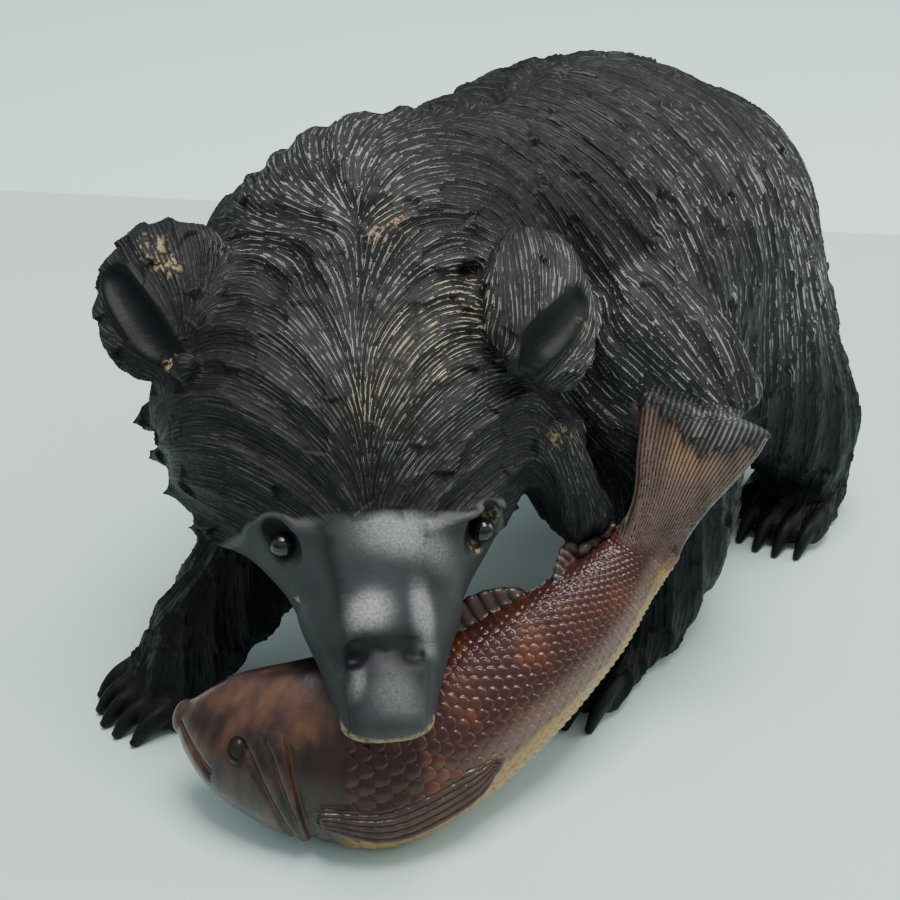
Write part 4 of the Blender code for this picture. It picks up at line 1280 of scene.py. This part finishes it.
# %% A small kit for node materials: the material itself
class Stain:
    """A node material; each method adds a node and gives back its value."""

    def __init__(self, name):
        self.material = bpy.data.materials.new(name)
        self.material.use_nodes = True
        self.tree = self.material.node_tree
        self.shader = self.tree.nodes["Principled BSDF"]
        self.place = self.node("TexCoord", {}, "Object")

    def plug(self, socket, value):
        if isinstance(value, Value):
            self.tree.links.new(value.socket, socket)
        elif isinstance(value, tuple):
            socket.default_value = (*value, 1)[: len(socket.default_value)]
        else:
            socket.default_value = value

    def node(self, kind, inputs, output=0, **settings):
        """Adds a node, fills its inputs, and gives back one output."""
        node = self.tree.nodes.new("ShaderNode" + kind)
        for key, value in settings.items():
            setattr(node, key, value)
        for key, value in inputs.items():
            self.plug(node.inputs[key], value)
        return Value(self, node.outputs[output])

    def finish(self, **inputs):
        """Fills inputs of the shader, with _ for each space."""
        for key, value in inputs.items():
            self.plug(self.shader.inputs[key.replace("_", " ")], value)

    def mask(self, name):
        return self.node("Attribute", {}, "Fac", attribute_name=name)

    def noise(self, scale, detail=3, stretch=(1, 1, 1), turn=(0, 0, 0)):
        """Cloudy variation: scale is in spots per metre."""
        turned = {"Vector": self.place, "Scale": stretch, "Rotation": turn}
        place = self.node("Mapping", turned)
        return self.node("TexNoise", {"Vector": place, "Scale": scale, "Detail": detail})

    def mix(self, share, first, second):
        shades = {"Factor": share, "A": first, "B": second}
        return self.node("Mix", shades, "Result", data_type="RGBA")

    def low(self, none, all_of_it):
        """0 at the first height, 1 at the second and beyond it, both in metres."""
        height = self.node("SeparateXYZ", {"Vector": self.place}, "Z")
        return ((height - none) * (1 / (all_of_it - none))).span(0.0, 1.0)

    def patches(self, spots):
        """Soft spots: side, forward and height on the head, radius."""
        total = 0.0
        for *place, radius in spots:
            total = self.spot(on_wood(head_point(*place)), radius * U).largest(total)
        return total

    def spot(self, centre, radius):
        """1 at a place on the wood, fading to 0 at radius, both in metres."""
        ends = {0: self.place, 1: centre}
        away = self.node("VectorMath", ends, "Value", operation="DISTANCE")
        return away.span(radius * 0.35, radius, 1.0, 0.0)

# %% Places and greys, and the stain of the wood
def on_wood(place):
    """A place in carver's units as a place in the solid's frame."""
    return tuple(np.asarray(place, float) * U + shift)


def grey(amount, blue=0.0):
    """A grey, made cooler by some blue."""
    return amount, amount, amount + blue


wood_stain = Stain("stained_and_lacquered_wood")
mask, noise, mix, low = wood_stain.mask, wood_stain.noise, wood_stain.mix, wood_stain.low
print("the stain kit is ready")

# %% [markdown]
# ### Bear
#
# Charcoal in the beds of the cuts, grey where a ridge has been rubbed, and each cut with a tone of
# its own, because no two strokes take the stain alike. On the bear's lit left side the grey ridges
# and paler beds are painted sheen as well as wear. The warm spots are places where the stain
# has worn through: the forehead's left half, the ear rims and the mane along the hump.

# %% Crests of the strokes, worn by hands, with painted sheen on the lit side
fur, ridge, rub_and_sheen, rim, cover, salmon, tone, across, leaf = (
    mask(name)
    for name in (
        "fur", "ridge", "rubbed", "rim", "cover", "salmon", "hair_tone", "across_hair", "hair_leaf"
    )
)
cloud, fleck = noise(30, 4), noise(600, 2)
grain = noise(500, 3, stretch=(1, 0.12, 1))

off = across.sums("ABSOLUTE", across)
crest = off.span(0.62, 0.92) * off.span(1.02, 1.28, 1.0, 0.15) * leaf.span(0.0, 0.5, 0.25, 1.0)
crest = crest * noise(240, 2).span(0.36, 0.6, 0.35, 1.0) * (1.0 - cover)
strands = across.sums("SINE", across * 8.5 + tone * 6.3)
fine = crest + strands * 0.15
crested = fine.largest(ridge * cover)
patchy = (cloud + tone * 0.35).span(0.4, 0.85, 0.25, 1.0)
# Worn grey crests, strongest in the spots on the lit side, where they are painted sheen as well as
# wear.
worn_and_sheen_crests = crested.span(0.15, 0.85) * patchy * rub_and_sheen

# %% Colour of the fur
WARM_SPOTS = ((4, 22, 145, 16), (17, 10, 154, 20), (29, -1, 160, 18), (10, -12, 185, 12))
CHIP_SPOTS = (
    (5, -11, 182, 5), (11, -13, 186, 5), (-63, -32, 170, 7), (-58, -26, 167, 7),
    (-58, -7, 143, 4), (65, 1, 154, 4), (61, 2, 113, 6), (36, 22, 101, 5),
    (31, 29, 93, 4), (-25, 38, 84, 3),
)
warm = wood_stain.patches(WARM_SPOTS)
chips = wood_stain.patches(CHIP_SPOTS) * fleck.span(0.46, 0.62) * ridge.span(0.3, 0.8)
shaded = tone * 0.65 + strands.span(-1, 1, 0.0, 0.35)
dark_bed = shaded.ramp((0.0, grey(0.005, 0.001)), (1.0, grey(0.015, 0.001)))
pale_bed = shaded.ramp((0.0, grey(0.012)), (1.0, (0.042, 0.041, 0.039)))
worn_and_sheen_grey = mix(warm, (0.36, 0.354, 0.335), (0.60, 0.52, 0.33))
# Paler beds and greyer crests in those spots: wear and painted sheen together.
hair_colour = mix(worn_and_sheen_crests, mix(rub_and_sheen, dark_bed, pale_bed), worn_and_sheen_grey)
# Darker towards the table: the lower legs took more stain, and the darkening also paints shade
# under the body.
hair_colour = mix(low(0.105, 0.05), hair_colour, grey(0.004, 0.001))

# %% Sanded face and hollows of the ears
# Painted shade: near black spots in the two nostril pits, the left one smaller.
PAINTED_SHADE_IN_NOSTRILS = ((-9, 59, 78, 5), (13, 58, 77, 2.5))
cloth = noise(1500, 4, stretch=(0.5, 1, 1), turn=(0, 0, 0.6))
# Painted sheen: pale grey patches on the muzzle, streaked by the fine noise.
painted_sheen_streaks = mask("shine") * cloth.span(0.25, 0.75, 0.45, 1.0)
sanded = cloud.ramp((0.3, (0.026, 0.027, 0.029)), (0.75, (0.048, 0.049, 0.051)))
for share, shade in (
    # painted shade along the muzzle's edges and in its groove
    (mask("shade"), (0.008, 0.009, 0.010)),
    # painted sheen on the muzzle
    (painted_sheen_streaks, (0.37, 0.368, 0.364)),
    (low(0.118, 0.135), (0.004, 0.005, 0.006)),
    (low(0.05, 0.035), grey(0.006, 0.001)),
    (wood_stain.patches(PAINTED_SHADE_IN_NOSTRILS), grey(0.002)),
):
    sanded = mix(share, sanded, shade)
chips = chips.largest(mask("raw") * fleck.span(0.35, 0.6))
bear_colour = mix(rim * 0.5, mix(fur, sanded, hair_colour), (0.14, 0.138, 0.13))
bear_colour = mix(chips, bear_colour, (0.33, 0.235, 0.125))
print("the bear's stain is mixed")

# %% [markdown]
# ### Salmon
#
# Red-brown lacquer that pools between the scales and is thin on their crowns, so they glow orange.
# The belly was left ochre, the tail is a dull pinkish brown.

# %% Lacquer of the salmon's body
scale, along, height_up, rays, fish_eye = (
    mask(name) for name in ("scale", "nose_to_tail", "belly_to_back", "rays", "fish_eye")
)
blotch = noise(70, 4)
glow = blotch.span(0.45, 0.7) * scale.span(0.2, 0.9) * along.span(0.6, 0.85, 1.0, 0.4)
lacquer = mix(glow, (0.050, 0.017, 0.013), (0.18, 0.055, 0.022))
streaks = noise(170, 5, stretch=(1, 0.6, 0.22), turn=(0.5, 0.3, 0))
head_wood = (blotch * 0.45 + streaks * 0.6).ramp(
    (0.38, (0.012, 0.008, 0.008)), (0.5, (0.040, 0.019, 0.014)), (0.66, (0.10, 0.044, 0.024))
)
behind_gill = (along + height_up * 0.04).span(0.205, 0.222) * 0.8
behind_gill = behind_gill * height_up.span(-0.1, 0.3, 1.0, 0.0)
head_wood = mix(behind_gill, head_wood, (0.018, 0.011, 0.010))
head_part = along.span(SCALES_FROM - 0.005, SCALES_FROM + 0.01, 1.0, 0.0)
lacquer = mix(head_part, lacquer, head_wood)
# Paler towards the belly and tail: partly a greyer brown, partly painted light against the dim
# light on the lower flank.
flank = height_up.span(-0.5, -0.1, 1.0, 0.0) * along.span(0.38, 0.6)
lacquer = mix(flank * 0.8, lacquer, (0.18, 0.115, 0.09))
belly = (height_up + blotch * 0.3).span(-0.55, -0.45, 1.0, 0.0) * along.span(0.27, 0.34)
lacquer = mix(belly, lacquer, (0.34, 0.20, 0.065))

# %% Fins, eye and the finish as a whole
thin_ray = rays.span(0.3, 1.0) * streaks.span(0.3, 0.65, 0.3, 1.0)
tail_end = wood_stain.spot(on_wood((56, 89, 100)), 0.018)
tail_ray = mix(tail_end, (0.18, 0.115, 0.095), (0.38, 0.22, 0.12))
ray_colour = mix(low(0.062, 0.075), (0.085, 0.042, 0.030), tail_ray)
fins = mix(thin_ray, (0.020, 0.012, 0.010), ray_colour)
lacquer = mix(fish_eye, mix(mask("fin"), lacquer, fins), (0.020, 0.017, 0.011))
glossy = salmon.sums("SUBTRACT", salmon, fish_eye, use_clamp=True)
wood_stain.finish(
    Base_Color=mix(salmon, bear_colour, lacquer),
    Roughness=salmon.span(0, 1, 0.52, 0.36) + chips * 0.35,
    Specular_IOR_Level=0.17,
    Coat_Weight=glossy * 0.5,
    Coat_Roughness=0.22,
)
tooling = {"Strength": 0.6, "Distance": 0.0003, "Height": grain + fleck * 0.5 + fine * (fur * 1.6)}
wood_stain.finish(Normal=wood_stain.node("Bump", tooling))
for obj in wood:
    obj.data.materials.append(wood_stain.material)
print("one finish on", len(wood), "pieces")

# %% [markdown]
# ### Eyes
#
# Small glass beads, black behind and glossy in front, set deep in the sockets.

# %% Glass of the eyes
glass = Stain("eye_glass")
dust = glass.noise(900, 3)
glass.finish(
    Base_Color=dust.ramp((0.3, grey(0.004)), (0.8, grey(0.02))),
    Roughness=dust.span(0.3, 0.8, 0.12, 0.3),
)
for node in eye_names.values():
    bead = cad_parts[node]
    bead.data.materials.clear()
    bead.data.materials.append(glass.material)
    bead.data.shade_smooth()
print("two beads of glass")

# %% [markdown]
# ## Floor and light
#
# A pale table with a paler backdrop behind it. The backdrop is part of the same plane, so that the
# camera can also go round the back. The light is a wide soft panel overhead, another behind the
# bear's left flank, and a room that is bright above and dim below.

# %% Table
BACKDROP = ((-454, 170, 0), (-28, 455, 0))
TABLE_REACH = 6.0
EDGE = 0.001

mesh = bpy.data.meshes.new("table_top")
sheet = bmesh.new()
bmesh.ops.create_grid(sheet, x_segments=1, y_segments=1, size=TABLE_REACH)
sheet.to_mesh(mesh)
sheet.free()
table_top = bpy.data.objects.new("table_top", mesh)
bpy.context.scene.collection.objects.link(table_top)
paper = Stain("pale_table")
start, end = (np.array(on_wood(place)) for place in BACKDROP)
beside = unit(np.cross([0, 0, 1], end - start))
ends = {0: paper.place, 1: tuple(beside)}
beyond = paper.node("VectorMath", ends, "Value", operation="DOT_PRODUCT")
beyond = beyond.span(start @ beside - EDGE, start @ beside + EDGE)
near = paper.noise(8, 3).ramp((0.3, (0.575, 0.725, 0.675)), (0.7, (0.615, 0.77, 0.715)))
paper.finish(
    Base_Color=paper.mix(beyond, near, (0.795, 1.0, 0.975)), Roughness=0.45, Specular_IOR_Level=0.2
)
mesh.materials.append(paper.material)
print("the table reaches", TABLE_REACH, "m each way")

# %% Lights
room = bpy.data.worlds.new("bright_room")
bpy.context.scene.world = room
room.use_nodes = True
nodes, links = room.node_tree.nodes, room.node_tree.links
air = nodes["Background"]
heading, parts, height = (
    nodes.new("ShaderNode" + kind) for kind in ("TexCoord", "SeparateXYZ", "MapRange")
)
for key, value in {"From Min": 0.1, "From Max": 0.9, "To Min": 0.22, "To Max": 0.85}.items():
    height.inputs[key].default_value = value
links.new(heading.outputs["Generated"], parts.inputs["Vector"])
links.new(parts.outputs["Z"], height.inputs["Value"])
links.new(height.outputs["Result"], air.inputs["Strength"])
air.inputs["Color"].default_value = (0.88, 0.95, 1.0, 1)
LIT = (0, 0, 0.1)
PANELS = (  # name, place in metres, size, power
    ("ceiling_panel", (0.1, 0.0, 1.3), 0.6, 20),
    ("window", (0.75, 1.0, 0.7), 0.7, 6),
)
for name, centre, size, power in PANELS:
    data = bpy.data.lights.new(name, "AREA")
    data.energy, data.size = power, size
    obj = bpy.data.objects.new(name, data)
    obj.location = centre
    obj.rotation_mode = "QUATERNION"
    obj.rotation_quaternion = (Vector(LIT) - Vector(centre)).to_track_quat("-Z", "Y")
    bpy.context.scene.collection.objects.link(obj)
print("two soft panels and a bright room")

# %% [markdown]
# ## Camera
#
# The photograph was taken from above and in front, at about the head's height over the table again.
# The lens is that of a phone held half a metre away.

# %% Camera
CAMERA_PLACE = (256.5, -270.0, 390.0)
CAMERA_AZIMUTH, CAMERA_PITCH = math.radians(40), math.radians(36)
camera_data = bpy.data.cameras.new("photo_camera")
camera_data.sensor_width, camera_data.lens = 36, 60
camera = bpy.data.objects.new("photo_camera", camera_data)
bpy.context.scene.collection.objects.link(camera)
camera.location = on_wood(CAMERA_PLACE)
camera.rotation_euler = (math.pi / 2 - CAMERA_PITCH, 0, CAMERA_AZIMUTH)
bpy.context.scene.camera = camera
print("the camera stands at", [round(c, 3) for c in camera.location])
